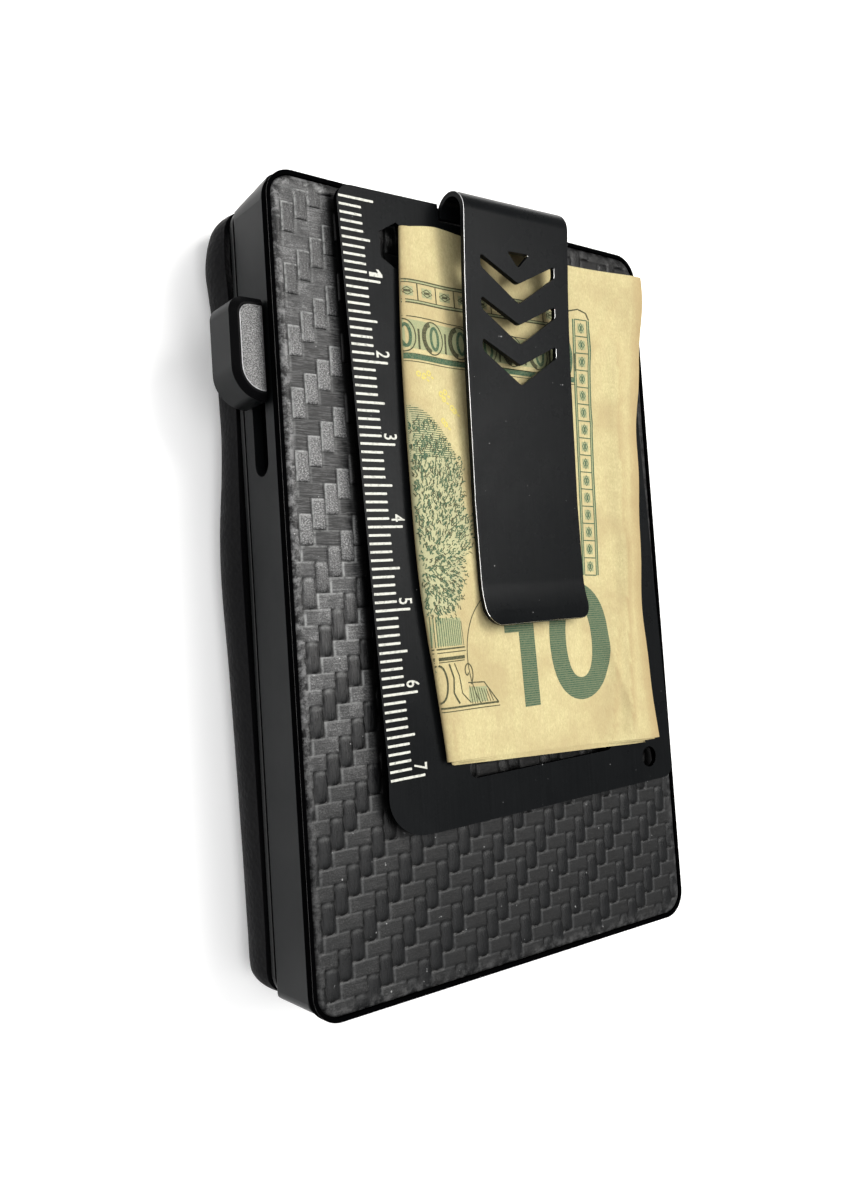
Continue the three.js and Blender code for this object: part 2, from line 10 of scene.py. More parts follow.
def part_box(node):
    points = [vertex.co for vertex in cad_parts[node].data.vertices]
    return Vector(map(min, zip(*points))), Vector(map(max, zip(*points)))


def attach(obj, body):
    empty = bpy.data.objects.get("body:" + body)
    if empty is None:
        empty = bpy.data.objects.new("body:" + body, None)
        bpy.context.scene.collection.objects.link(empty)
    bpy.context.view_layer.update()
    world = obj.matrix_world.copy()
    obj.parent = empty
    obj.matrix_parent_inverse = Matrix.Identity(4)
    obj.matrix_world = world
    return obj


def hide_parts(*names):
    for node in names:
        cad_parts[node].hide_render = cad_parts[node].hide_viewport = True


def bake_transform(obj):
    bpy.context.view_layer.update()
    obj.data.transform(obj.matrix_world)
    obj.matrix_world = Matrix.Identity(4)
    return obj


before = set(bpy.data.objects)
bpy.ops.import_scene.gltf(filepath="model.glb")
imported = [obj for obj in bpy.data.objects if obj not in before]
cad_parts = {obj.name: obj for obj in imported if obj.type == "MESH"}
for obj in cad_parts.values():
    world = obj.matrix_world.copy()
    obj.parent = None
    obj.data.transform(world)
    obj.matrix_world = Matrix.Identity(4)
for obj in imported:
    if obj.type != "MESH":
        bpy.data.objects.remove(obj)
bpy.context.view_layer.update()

# ---------------- the frame's places, in mm
MM = 0.001


def box_mm(node):
    """The lowest and the highest corner of a CAD node's box."""
    return [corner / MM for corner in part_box(node)]


cover_low, cover_high = box_mm("front_cover")
skin_low, skin_high = box_mm("front_skin")
centre = (cover_low + cover_high) / 2
SKIN_TOP = skin_high.z
PLATE_TOP = box_mm("tool_plate")[1].z

# The tool plate, the clip and the banknote are turned a little on the wallet.
PLATE_SKEW = math.radians(1.89)
STRAIGHT = Matrix.Translation((centre.x * MM, centre.y * MM, 0)) @ Matrix.Scale(MM, 4)
TURNED = STRAIGHT @ Matrix.Rotation(PLATE_SKEW, 4, "Z")


# ---------------- materials
def triple(value):
    """Three numbers as they are, or one number three times over."""
    return tuple(value) if hasattr(value, "__len__") else (value, value, value)


def between(colour, other, share):
    """The colour that lies a share of the way from one colour to another."""
    return [c + share * (o - c) for c, o in zip(colour, other)]


class Nodes:
    """A material's node tree with short calls for the nodes that recur."""

    def __init__(self, name):
        self.material = bpy.data.materials.new(name)
        self.material.use_nodes = True
        self.tree = self.material.node_tree
        self.shader = self.tree.nodes["Principled BSDF"]
        self.place = self.tree.nodes.new("ShaderNodeTexCoord").outputs["Object"]

    def link(self, output, socket):
        self.tree.links.new(output, socket)

    def fixed(self, **values):
        for name, value in values.items():
            self.shader.inputs[name.replace("_", " ")].default_value = value

    def stretched(self, scale):
        """Object coordinates in millimetres, scaled along each axis."""
        mapping = self.tree.nodes.new("ShaderNodeMapping")
        mapping.inputs["Scale"].default_value = [s / MM for s in scale]
        self.link(self.place, mapping.inputs["Vector"])
        return mapping.outputs["Vector"]

    def noise(self, scale, detail=3.0, roughness=0.55):
        """Noise whose scale is in features per millimetre, one number or one for each axis."""
        texture = self.tree.nodes.new("ShaderNodeTexNoise")
        texture.inputs["Scale"].default_value = 1.0
        texture.inputs["Detail"].default_value = detail
        texture.inputs["Roughness"].default_value = roughness
        self.link(self.stretched(triple(scale)), texture.inputs["Vector"])
        return texture.outputs["Fac"]

    def cells(self, scale):
        """Distance to the nearest of scattered points, scale of them per millimetre."""
        texture = self.tree.nodes.new("ShaderNodeTexVoronoi")
        texture.inputs["Scale"].default_value = 1.0
        self.link(self.stretched(triple(scale)), texture.inputs["Vector"])
        return texture.outputs["Distance"]

    def ramp(self, value, stops):
        """Colours, or greys given as one number, at their places between 0 and 1."""
        ramp = self.tree.nodes.new("ShaderNodeValToRGB")
        elements = ramp.color_ramp.elements
        while len(elements) < len(stops):
            elements.new(0.5)
        for element, (position, colour) in zip(elements, stops):
            element.position = position
            element.color = (*triple(colour), 1)
        self.link(value, ramp.inputs["Fac"])
        return ramp.outputs["Color"]

    def mix(self, factor, first, second, blend="MIX"):
        mixer = self.tree.nodes.new("ShaderNodeMix")
        mixer.data_type = "RGBA"
        mixer.blend_type = blend
        for socket, value in (("Factor", factor), ("A", first), ("B", second)):
            place = next(s for s in mixer.inputs if s.name == socket and s.enabled)
            if hasattr(value, "is_output"):
                self.link(value, place)
            elif socket == "Factor":
                place.default_value = value
            else:
                place.default_value = (*triple(value), 1)
        return next(s for s in mixer.outputs if s.enabled)

    def attribute(self, name):
        node = self.tree.nodes.new("ShaderNodeAttribute")
        node.attribute_name = name
        return node.outputs["Fac"]

    def bump(self, height, distance):
        """Adds relief of distance mm to the relief that is already there."""
        node = self.tree.nodes.new("ShaderNodeBump")
        node.inputs["Strength"].default_value = 1.0
        node.inputs["Distance"].default_value = distance * MM
        self.link(height, node.inputs["Height"])
        if self.shader.inputs["Normal"].is_linked:
            self.link(self.shader.inputs["Normal"].links[0].from_socket, node.inputs["Normal"])
        self.link(node.outputs["Normal"], self.shader.inputs["Normal"])

    def paint(self, colour, roughness=None):
        self.link(colour, self.shader.inputs["Base Color"])
        if roughness is not None:
            self.link(roughness, self.shader.inputs["Roughness"])
        return self.material


def anodised_material():
    n = Nodes("anodised_aluminium")
    n.fixed(Metallic=0.3, Specular_IOR_Level=0.09)
    grain = n.noise(9, detail=2)
    clouds = n.noise((0.5, 0.12, 0.5), detail=4)
    smudges = n.noise(0.09, detail=4)
    colour = n.mix(clouds, (0.0048, 0.0056, 0.0061), (0.0068, 0.0077, 0.0083))
    n.bump(grain, 0.004)
    return n.paint(colour, n.ramp(smudges, [(0.3, 0.32), (0.7, 0.44)]))


def black_steel_material():
    n = Nodes("brushed_black_steel")
    n.fixed(Metallic=0.1, Specular_IOR_Level=0.044)
    brushed = n.noise((7, 0.06, 3), detail=4, roughness=0.7)
    smudges = n.noise(0.12, detail=5, roughness=0.65)
    colour = n.mix(brushed, (0.0022, 0.0025, 0.0028), (0.0072, 0.0080, 0.0087))
    dust = n.ramp(n.noise(2.1, detail=1), [(0.79, 0.0), (0.83, 0.22)])
    colour = n.mix(1.0, colour, dust, "ADD")
    n.bump(brushed, 0.006)
    return n.paint(colour, n.ramp(smudges, [(0.3, 0.22), (0.72, 0.34)]))


def mottled_material(name, texture, stops, relief, roughness, **fixed):
    """One noise gives the colour and the relief; texture is its scale, detail and roughness.
    The material's own roughness is one number, or stops that follow the noise too."""
    n = Nodes(name)
    n.fixed(**fixed)
    pattern = n.noise(*texture)
    if relief:
        n.bump(pattern, relief)
    if hasattr(roughness, "__len__"):
        return n.paint(n.ramp(pattern, stops), n.ramp(pattern, roughness))
    n.fixed(Roughness=roughness)
    return n.paint(n.ramp(pattern, stops))


def bare_edge_material(name, light, roughness):
    return mottled_material(name, (1.4, 4, 0.7), [(0.3, light * 0.7), (0.55, light)], 0,
                            [(0.3, roughness + 0.15), (0.7, roughness)], Metallic=1.0)


def black_plastic_material(name="black_plastic", share=1.0, ior=1.5):
    """share darkens the colour, and an index of refraction near 1 takes the sheen away."""
    n = Nodes(name)
    n.fixed(Specular_IOR_Level=0.03, IOR=ior)
    grain = n.noise(7, detail=3)
    patches = n.noise(0.2, detail=4)
    dark, light = (0.0010, 0.0010, 0.0012), (0.0028, 0.0028, 0.0032)
    colour = n.mix(patches, between((0, 0, 0), dark, share), between((0, 0, 0), light, share))
    n.bump(grain, 0.008)
    return n.paint(colour, n.ramp(patches, [(0.3, 0.36), (0.7, 0.5)]))


def carbon_material():
    """Embossed weave whose upright pads and level tiles take painted sheen differently: dark pads and
    brightened tiles in the painted sheen below, bright pads and dark tiles in the painted sheen above, and
    scuff marks along the rim that also stand in as a painted highlight."""
    n = Nodes("carbon_look_leather")
    n.fixed(Specular_IOR_Level=0.2)
    upright, left_sheen, upper_sheen = n.attribute("warp"), n.attribute("left_sheen"), n.attribute("upper_sheen")
    ribs_up = n.noise((6, 0.5, 1), detail=3, roughness=0.7)
    ribs_across = n.noise((0.5, 6, 1), detail=3, roughness=0.7)
    ribs = n.mix(upright, ribs_across, ribs_up)
    # Bright flecks from this noise are painted glints in the sheen; it also gives relief and roughness.
    glint_speckle = n.mix(0.12, n.noise((4.2, 5.5, 3), detail=4, roughness=0.85), ribs)
    patches = n.noise(0.35, detail=3)
    pads = n.mix(ribs, (0.0015, 0.0017, 0.002), (0.006, 0.0065, 0.007))
    # Painted sheen towards the left and the top: lighter pads and much brighter tiles.
    left_sheen_pads = n.ramp(ribs, [(0.40, 0.002), (0.50, 0.010), (0.64, 0.042)])
    pads = n.mix(left_sheen, pads, left_sheen_pads)
    # Painted sheen above: bright pads and dark tiles.
    bright_pads = n.ramp(glint_speckle, [(0.38, 0.022), (0.50, 0.085), (0.64, 0.36)])
    pads = n.mix(upper_sheen, pads, bright_pads)
    tiles = n.ramp(glint_speckle, [(0.38, 0.003), (0.52, 0.010), (0.66, 0.030)])
    left_sheen_tiles = n.ramp(glint_speckle, [(0.36, 0.035), (0.50, 0.13), (0.66, 0.38)])
    tiles = n.mix(left_sheen, tiles, left_sheen_tiles)
    dark_tiles = n.ramp(ribs, [(0.40, 0.006), (0.50, 0.022), (0.64, 0.085)])
    tiles = n.mix(upper_sheen, tiles, dark_tiles)
    tiles = n.mix(n.ramp(patches, [(0.38, 0.0), (0.62, 0.6)]), tiles, (0.012, 0.0125, 0.013))
    tiles = n.mix(n.ramp(ribs, [(0.40, 0.35), (0.55, 0.0)]), tiles, 0.004)
    colour = n.mix(upright, tiles, pads)
    # Scuff marks along the rim that also stand in as a painted highlight where the skin wraps round its
    # edge.
    scuffs_and_highlight = n.ramp(n.noise(0.9, detail=5, roughness=0.75), [(0.46, 0.004), (0.62, 0.22)])
    colour = n.mix(n.ramp(n.attribute("rim"), [(0.0, 0.0), (1.0, 0.75)]), colour, scuffs_and_highlight)
    # Painted highlight on the weave's lit edges, brighter within the left painted sheen.
    edge_highlight_colour = n.mix(left_sheen, (0.032, 0.033, 0.034), (0.30, 0.305, 0.30))
    edge = n.mix(1.0, n.ramp(n.attribute("edge"), [(0.0, 0.0), (1.0, 0.9)]),
                 n.ramp(n.noise(1.7, detail=4), [(0.36, 0.25), (0.56, 1.0)]), "MULTIPLY")
    colour = n.mix(edge, colour, edge_highlight_colour)
    dust = n.ramp(n.noise(1.5, detail=1), [(0.79, 0.0), (0.82, 0.25)])
    colour = n.mix(1.0, colour, dust, "ADD")
    # Painted shade: near black in the weave's hollows and under the tool plate.
    lit_crest = n.attribute("lit_crest")
    colour = n.mix(n.ramp(lit_crest, [(0.0, 0.1), (0.66, 1.0)]), 0.0015, colour)
    n.bump(ribs, 0.022)
    n.bump(glint_speckle, 0.03)
    rough_pads = n.ramp(ribs, [(0.3, 0.24), (0.7, 0.36)])
    rough_tiles = n.ramp(glint_speckle, [(0.35, 0.46), (0.65, 0.28)])
    return n.paint(colour, n.mix(upright, rough_tiles, rough_pads))


def leather_material():
    n = Nodes("soft_leather")
    n.fixed(Specular_IOR_Level=0.06)
    low, high = (0.003, 0.003, 0.0034), (0.007, 0.007, 0.0078)
    pores = n.cells(1.6)
    creases = n.noise(0.35, detail=6, roughness=0.65)
    colour = n.mix(creases, low, high)
    colour = n.mix(n.ramp(pores, [(0.0, 1.0), (0.25, 0.0)]), colour, between((0, 0, 0), low, 0.4))
    n.bump(pores, 0.05)
    n.bump(creases, 0.12)
    return n.paint(colour, n.ramp(creases, [(0.3, 0.42), (0.7, 0.6)]))


def paper_material():
    n = Nodes("banknote_paper")
    n.fixed(Specular_IOR_Level=0.2)
    fibres = n.noise((6, 2.5, 4), detail=5, roughness=0.8)
    clouds = n.noise(0.5, detail=5, roughness=0.7)
    stains = n.noise(0.10, detail=4, roughness=0.55)
    streaks = n.noise((2.6, 0.2, 2), detail=5, roughness=0.7)
    colour = n.mix(n.ramp(fibres, [(0.3, 0.0), (0.7, 1.0)]), (0.385, 0.332, 0.163), (0.62, 0.55, 0.295))
    colour = n.mix(n.ramp(clouds, [(0.42, 0.0), (0.70, 0.45)]), colour, (0.39, 0.305, 0.155))
    colour = n.mix(n.ramp(stains, [(0.46, 0.0), (0.64, 0.55)]), colour, (0.37, 0.285, 0.145))
    colour = n.mix(n.ramp(streaks, [(0.44, 0.0), (0.64, 0.42)]), colour, (0.43, 0.35, 0.19))
    # Darker brown along the note's edges from handling, and as painted shade on the right of each crease.
    handled_and_crease_shade = n.ramp(n.attribute("handled_and_crease_shade"), [(0.0, 0.0), (1.0, 0.7)])
    colour = n.mix(handled_and_crease_shade, colour, (0.33, 0.235, 0.115))
    tint = n.ramp(n.attribute("tint"), [(0.0, 0.0), (1.0, 0.36)])
    colour = n.mix(tint, colour, (0.27, 0.37, 0.25))
    n.bump(fibres, 0.03)
    n.bump(clouds, 0.05)
    n.fixed(Roughness=0.82)
    return n.paint(colour)


PAPER_TONE = (0.56, 0.47, 0.25)  # what shows through worn ink


def ink_material(name, colour, paper_share, hatch=0.0):
    """Printing ink that lets some paper show through its grain; hatch is the number of
    fine engraved lines per millimetre, or 0 for none."""
    n = Nodes(name)
    n.fixed(Roughness=0.75, Specular_IOR_Level=0.15)
    grain = n.noise((5, 5, 1), detail=4, roughness=0.8)
    inked = n.ramp(grain, [(0.40, colour), (0.70, between(colour, PAPER_TONE, paper_share))])
    if hatch:
        lines = n.tree.nodes.new("ShaderNodeTexWave")
        lines.bands_direction = "Y"
        lines.inputs["Scale"].default_value = hatch / 3.2
        lines.inputs["Distortion"].default_value = 0.4
        n.link(n.stretched((1, 1, 1)), lines.inputs["Vector"])
        lighter = between(colour, PAPER_TONE, 0.34)
        inked = n.mix(n.ramp(lines.outputs["Fac"], [(0.4, 0.0), (0.9, 0.6)]), inked, lighter)
    return n.paint(inked)


anodised = anodised_material()
black_steel = black_steel_material()
black_plastic = black_plastic_material()
# Matt black for the front tray, and for the tool plate's side walls as painted shade.
matt_black_and_shade = black_plastic_material("matt_black_plastic_and_shade", 0.5, 1.02)
carbon = carbon_material()
soft_leather = leather_material()
felt = mottled_material("grey_felt", (5, 6, 0.8), [(0, (0.020, 0.020, 0.021)), (1, (0.060, 0.060, 0.063))],
                        0.12, 0.95, Sheen_Weight=0.3)
paper = paper_material()
green_ink = ink_material("green_ink", (0.030, 0.085, 0.050), 0.25)
numeral_ink = ink_material("numeral_ink", (0.022, 0.075, 0.046), 0.2, hatch=3.4)
dark_ink = ink_material("dark_ink", (0.035, 0.042, 0.022), 0.22)
pale_ink = ink_material("pale_green_ink", (0.26, 0.29, 0.16), 0.4)
yellow_ink = ink_material("yellow_ink", (0.56, 0.48, 0.12), 0.45)
white_marking = mottled_material(
    "white_marking", (2.2, 4, 0.7), [(0.30, (0.20, 0.20, 0.18)), (0.5, (0.55, 0.55, 0.49))], 0, 0.55)
grip = mottled_material(
    "speckled_grip", (6.5, 3, 0.8), [(0.40, 0.03), (0.5, 0.10), (0.60, 0.24)], 0.03, 0.55, Metallic=0.35)
thread = mottled_material(
    "sewing_thread", ((3, 3, 8), 2), [(0, (0.012, 0.012, 0.013)), (1, (0.05, 0.05, 0.053))], 0.05, 0.6)
screw_steel = mottled_material(
    "screw_steel", ((4, 4, 0.5), 3), [(0, (0.03, 0.03, 0.031)), (1, (0.07, 0.07, 0.072))], 0.006,
    [(0.3, 0.25), (0.7, 0.4)], Metallic=1.0)
bright_edge = bare_edge_material("bare_steel_edge", 0.95, 0.32)
soft_edge = bare_edge_material("rubbed_edge", 0.055, 0.35)
rim_edge = bare_edge_material("rubbed_rim", 0.08, 0.3)
grip_rim = bare_edge_material("grip_rim", 0.62, 0.4)


# ---------------- mesh helpers
SHARP_EDGE = 35  # a CAD edge that turns more degrees than this is rounded
WELD = 0.002  # CAD corners closer than this are one corner


def placed(name, data):
    """An object in the scene that carries data."""
    carrier = bpy.data.objects.new(name, data)
    bpy.context.scene.collection.objects.link(carrier)
    return carrier


def smooth(mesh, sharp):
    """Smooth shading that stops at edges which turn more than sharp degrees."""
    for polygon in mesh.polygons:
        polygon.use_smooth = True
    mesh.set_sharp_from_angle(angle=math.radians(sharp))


def edited(mesh, change):
    """The mesh after change has worked on it as a bmesh."""
    work = bmesh.new()
    work.from_mesh(mesh)
    change(work)
    work.to_mesh(mesh)
    work.free()
    return mesh


def add_piece(name, mesh, material, body, sharp=40):
    piece = placed(name, mesh)
    mesh.materials.append(material)
    smooth(mesh, sharp)
    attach(piece, body)
    return piece


def new_mesh(name, points, faces, place=STRAIGHT):
    """A mesh of points in mm, moved into the frame's metres by place."""
    mesh = bpy.data.meshes.new(name)
    mesh.from_pydata([tuple(p) for p in points], [], [tuple(f) for f in faces])
    mesh.transform(place)
    mesh.update()
    return mesh


def grid_faces(rows, columns):
    """Faces of a grid of points listed row by row."""
    index = np.arange(rows * columns).reshape(rows, columns)
    corners = (index[:-1, :-1], index[:-1, 1:], index[1:, 1:], index[1:, :-1])
    return np.stack([c.ravel() for c in corners], axis=1).tolist()


def with_modifier(piece, kind, **values):
    """Applies one modifier with those values to the piece, and returns its new mesh."""
    modifier = piece.modifiers.new(kind.lower(), kind)
    for key, value in values.items():
        setattr(modifier, key, value)
    bpy.context.view_layer.update()
    shaped = piece.evaluated_get(bpy.context.evaluated_depsgraph_get())
    mesh = bpy.data.meshes.new_from_object(shaped)
    piece.modifiers.clear()
    old = piece.data
    piece.data = mesh
    bpy.data.meshes.remove(old)
    return mesh


def thick_sheet(piece, material, thickness, offset, sharp):
    """Gives a sheet its thickness: offset 0 puts it on both sides, -1 on the inner side."""
    piece.data.materials.append(material)
    smooth(with_modifier(piece, "SOLIDIFY", thickness=thickness * MM, offset=offset, use_rim=True), sharp)


def finished_copy(node, name, materials, bevel, body, reshape=None, roughen=None,
                  flat_above=math.inf):
    """A copy of a CAD node whose edges are rounded by bevel mm. The last material shows on the
    rounded edges, and faces of more than flat_above square mm are shaded flat."""
    work = bmesh.new()
    work.from_mesh(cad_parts[node].data)
    bmesh.ops.remove_doubles(work, verts=work.verts, dist=WELD * MM)
    bmesh.ops.dissolve_limit(work, angle_limit=math.radians(1), verts=work.verts, edges=work.edges)
    if reshape:
        reshape(work)
    mesh = bpy.data.meshes.new(name)
    work.to_mesh(mesh)
    work.free()
    for material in materials:
        mesh.materials.append(material)
    for polygon in mesh.polygons:
        polygon.material_index = 0
        polygon.use_smooth = True
    piece = placed(name, mesh)
    mesh = with_modifier(
        piece, "BEVEL", width=bevel * MM, segments=2, limit_method="ANGLE",
        angle_limit=math.radians(SHARP_EDGE), material=len(materials) - 1, use_clamp_overlap=True,
    )
    if roughen:
        edited(mesh, roughen)
    mesh.set_sharp_from_angle(angle=math.radians(SHARP_EDGE))
    for polygon in mesh.polygons:
        polygon.use_smooth = polygon.area < flat_above * MM ** 2
    with_modifier(piece, "WEIGHTED_NORMAL", weight=100, keep_sharp=True)
    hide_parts(node)
    if body:
        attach(piece, body)
    return piece


def repaint(piece, index, chosen):
    """Gives another of the piece's materials to the faces for which chosen is true."""
    for polygon in piece.data.polygons:
        if chosen(polygon):
            polygon.material_index = index


def cut(work, place, normal):
    """Cuts all faces along a plane through place, and keeps both sides."""
    geometry = work.verts[:] + work.edges[:] + work.faces[:]
    bmesh.ops.bisect_plane(work, geom=geometry, dist=1e-7, plane_co=place, plane_no=normal)


def smooth_curve(points, x):
    """Smooth curve through points (x, y), at x, which may be an array."""
    xs, ys = np.array(sorted(points), float).T
    slopes = np.gradient(ys, xs)
    x = np.clip(x, xs[0], xs[-1])
    i = np.clip(np.searchsorted(xs, x) - 1, 0, len(xs) - 2)
    width = xs[i + 1] - xs[i]
    t = (x - xs[i]) / width
    start = (1 + 2 * t) * (1 - t) ** 2 * ys[i] + t * (1 - t) ** 2 * width * slopes[i]
    end = t * t * (3 - 2 * t) * ys[i + 1] + t * t * (t - 1) * width * slopes[i + 1]
    return start + end


def smoothstep(low, high, x):
    t = np.clip((x - low) / (high - low), 0, 1)
    return t * t * (3 - 2 * t)


def eased(count, low, high, edge):
    """Numbers from low to high that lie closer together near both ends."""
    t = np.linspace(0, 1, count)
    t = t - edge * np.sin(2 * math.pi * t) / (2 * math.pi)
    return low + (high - low) * t


def rounded_plan(xs, ys, half_x, half_y, corner):
    """x and y of a grid of points whose rows are drawn in at the rounded corners, and each
    point's distance to the outline."""
    y = np.repeat(ys[:, None], len(xs), axis=1)
    past = np.clip(np.abs(y) - (half_y - corner), 0, corner)
    reach = half_x - corner + np.sqrt(np.maximum(corner ** 2 - past ** 2, 0))
    x = np.repeat(xs[None, :], len(ys), axis=0) * reach / half_x
    from_corner = np.hypot(
        np.maximum(np.abs(x) - (half_x - corner), 0), np.maximum(np.abs(y) - (half_y - corner), 0),
    )
    inside_corner = (np.abs(x) > half_x - corner) & (np.abs(y) > half_y - corner)
    to_sides = np.minimum(half_x - np.abs(x), half_y - np.abs(y))
    distance = np.where(inside_corner, corner - from_corner, to_sides)
    return x, y, np.maximum(distance, 0)


# ---------------- stage, lights and camera
CAMERA_POINT = (-90.75, -7.87, 102.93)  # from the middle of the skin's face
CAMERA_AIM = (-11.41, -0.94, 0)
CAMERA_ROLL = math.radians(-3.765)
CAMERA_LENS = 31.54
LIGHT_AIM = (0, 0, 0.01)  # in metres


def make_camera():
    data = bpy.data.cameras.new("camera")
    data.sensor_width = 36  # full frame
    data.lens = CAMERA_LENS
    data.clip_start = 0.005
    camera = placed("camera", data)
    forward = (Vector(CAMERA_AIM) - Vector(CAMERA_POINT)).normalized()
    level = forward.cross(Vector((0, 1, 0))).normalized()
    upright = level.cross(forward)
    right = level * math.cos(CAMERA_ROLL) + upright * math.sin(CAMERA_ROLL)
    up = right.cross(forward)
    point = Vector((centre.x, centre.y, SKIN_TOP)) + Vector(CAMERA_POINT)
    turn = Matrix((right, up, -forward)).transposed().to_4x4()
    camera.matrix_world = Matrix.Translation(point * MM) @ turn
    bpy.context.scene.camera = camera


def soft_light(name, place, size, watts, colour=(1, 1, 1), height=None):
    """An area light that faces the wallet, in metres; it is square unless height is given."""
    data = bpy.data.lights.new(name, "AREA")
    data.shape = "RECTANGLE"
    data.size = size
    data.size_y = height or size
    data.energy = watts
    data.color = colour
    light = placed(name, data)
    light.location = place
    light.rotation_euler = (Vector(LIGHT_AIM) - Vector(place)).to_track_quat("-Z", "Y").to_euler()


FLOOR_Z = -0.00005  # just under the pocket, in metres
FLOOR_HALF = 4


def make_stage():
    corners = [(x * FLOOR_HALF, y * FLOOR_HALF, FLOOR_Z) for x, y in ((-1, -1), (1, -1), (1, 1), (-1, 1))]
    mesh = new_mesh("floor", corners, [(0, 1, 2, 3)], Matrix.Identity(4))
    floor = placed("floor", mesh)
    n = Nodes("pale_floor")
    n.fixed(Roughness=0.7, Specular_IOR_Level=0.2, Emission_Strength=0.22)
    n.fixed(Emission_Color=(1, 1, 1, 1))
    mesh.materials.append(n.paint(n.ramp(n.noise(0.02), [(0.3, 0.90), (0.7, 0.92)])))
    world = bpy.data.worlds.new("studio")
    world.use_nodes = True
    world.node_tree.nodes["Background"].inputs["Color"].default_value = (1, 1, 1, 1)
    world.node_tree.nodes["Background"].inputs["Strength"].default_value = 0.34
    bpy.context.scene.world = world
    bpy.context.scene.view_settings.view_transform = "Standard"
    soft_light("key_light", (0.19, 0.13, 0.42), 0.32, 2.1, (1, 0.98, 0.95), 0.20)
    soft_light("overhead_light", (0.1, -0.2, 1.6), 1.6, 18.0)
    soft_light("side_light", (-0.9, 0.55, 0.85), 0.9, 4.2)


make_camera()
make_stage()


# ---------------- front skin
TOW = 1.85  # width of one woven bundle
RELIEF = 0.17  # depth of the embossing
RIM_STEP = 0.06  # the grid's first and last cells, along the skin's edge
CELL_STEPS = np.array([0.0, 0.07, 0.2, 0.4, 0.6, 0.8, 0.93])  # where the grid cuts each bundle
WEAVE_START = (0.4, 0.7)
CRISP_Y = (1, 12)  # over this stretch of y the pads turn from ovals into crisp rectangles
UPPER_SHEEN_Y = (-7, 8)  # and over this one the painted sheen turns the pads from dark to bright


def weave_lines(half, start):
    """Grid lines from -half to half that follow the gaps between the bundles."""
    first = math.floor((-half + start) / TOW)
    cells = np.arange(first, first + int(2 * half / TOW) + 3)
    lines = ((cells[:, None] + CELL_STEPS[None, :]) * TOW - start).ravel()
    lines = lines[(lines > -half + 2 * RIM_STEP) & (lines < half - 2 * RIM_STEP)]
    return np.concatenate([[-half, -half + RIM_STEP], lines, [half - RIM_STEP, half]])


def weave_cell(x, y):
    """The twill's phase from 0 to 3, and the place inside one bundle's width from 0 to 1."""
    column, row = np.floor(x / TOW + 1e-6), np.floor(y / TOW + 1e-6)
    return np.mod(column - row, 4), x / TOW - column, y / TOW - row


def weave(x, y):
    """Height of the embossed two-by-two twill from 0 to 1, and where its upright bundles
    lie on top. Upright bundles are domed pads, the others flat tiles with crisp edges."""
    phase, across_x, along_y = weave_cell(x, y)
    upright = phase < 2
    along = np.where(upright, (along_y + (phase == 0)) / 2, (across_x + (phase == 3)) / 2)
    across = np.where(upright, across_x, along_y)
    off_centre, off_middle = np.abs(2 * across - 1), np.abs(2 * along - 1)
    crisp = smoothstep(*CRISP_Y, y)
    pad = np.sqrt(np.clip(1 - off_centre ** (2.8 + 3 * crisp) - off_middle ** (3.6 + 12 * crisp), 0, 1))
    tile = 0.55 + 0.25 * (1 - off_centre ** 14) * (1 - off_middle ** 22) - 0.08 * along
    return np.where(upright, pad, tile), upright


def weave_edges(x, y):
    """1 on the edges that get a painted highlight: the left and upper edges of the tiles below, where the
    pads have lighter ends, and of the upright bundles above."""
    phase, across_x, along_y = weave_cell(x, y)
    crisp = smoothstep(*CRISP_Y, y)
    line = np.where(across_x < 0.03, 0.6, np.where(across_x < 0.1, 1.0, 0.0))
    left = line * ((phase == 2) * (1 - 0.75 * crisp) + (phase < 2) * crisp)
    upper = (along_y > 0.9) * (0.7 * (phase >= 2) * (1 - 0.75 * crisp) + (phase == 0) * crisp)
    pad_end_highlight = (phase == 0) * (along_y > 0.75) * (np.abs(2 * across_x - 1) < 0.7) * 0.45 * (1 - crisp)
    return np.maximum(np.maximum(left, upper), pad_end_highlight)


PLATE_LEFT, PLATE_BOTTOM = -21.8, -29.5  # its edges in its own turned frame


def under_plate(x, y):
    """1 under the tool plate, where the skin's colour gets painted shade, 0 beside it."""
    across = x * math.cos(PLATE_SKEW) + y * math.sin(PLATE_SKEW)
    along = y * math.cos(PLATE_SKEW) - x * math.sin(PLATE_SKEW)
    return smoothstep(-0.6, 0.3, np.minimum(across - PLATE_LEFT, along - PLATE_BOTTOM))


def grid_rim(rows, columns):
    """Points round the border of a grid, in order."""
    return np.concatenate([
        np.arange(columns), np.arange(1, rows) * columns + columns - 1,
        (rows - 1) * columns + np.arange(columns - 2, -1, -1), np.arange(rows - 2, 0, -1) * columns,
    ])


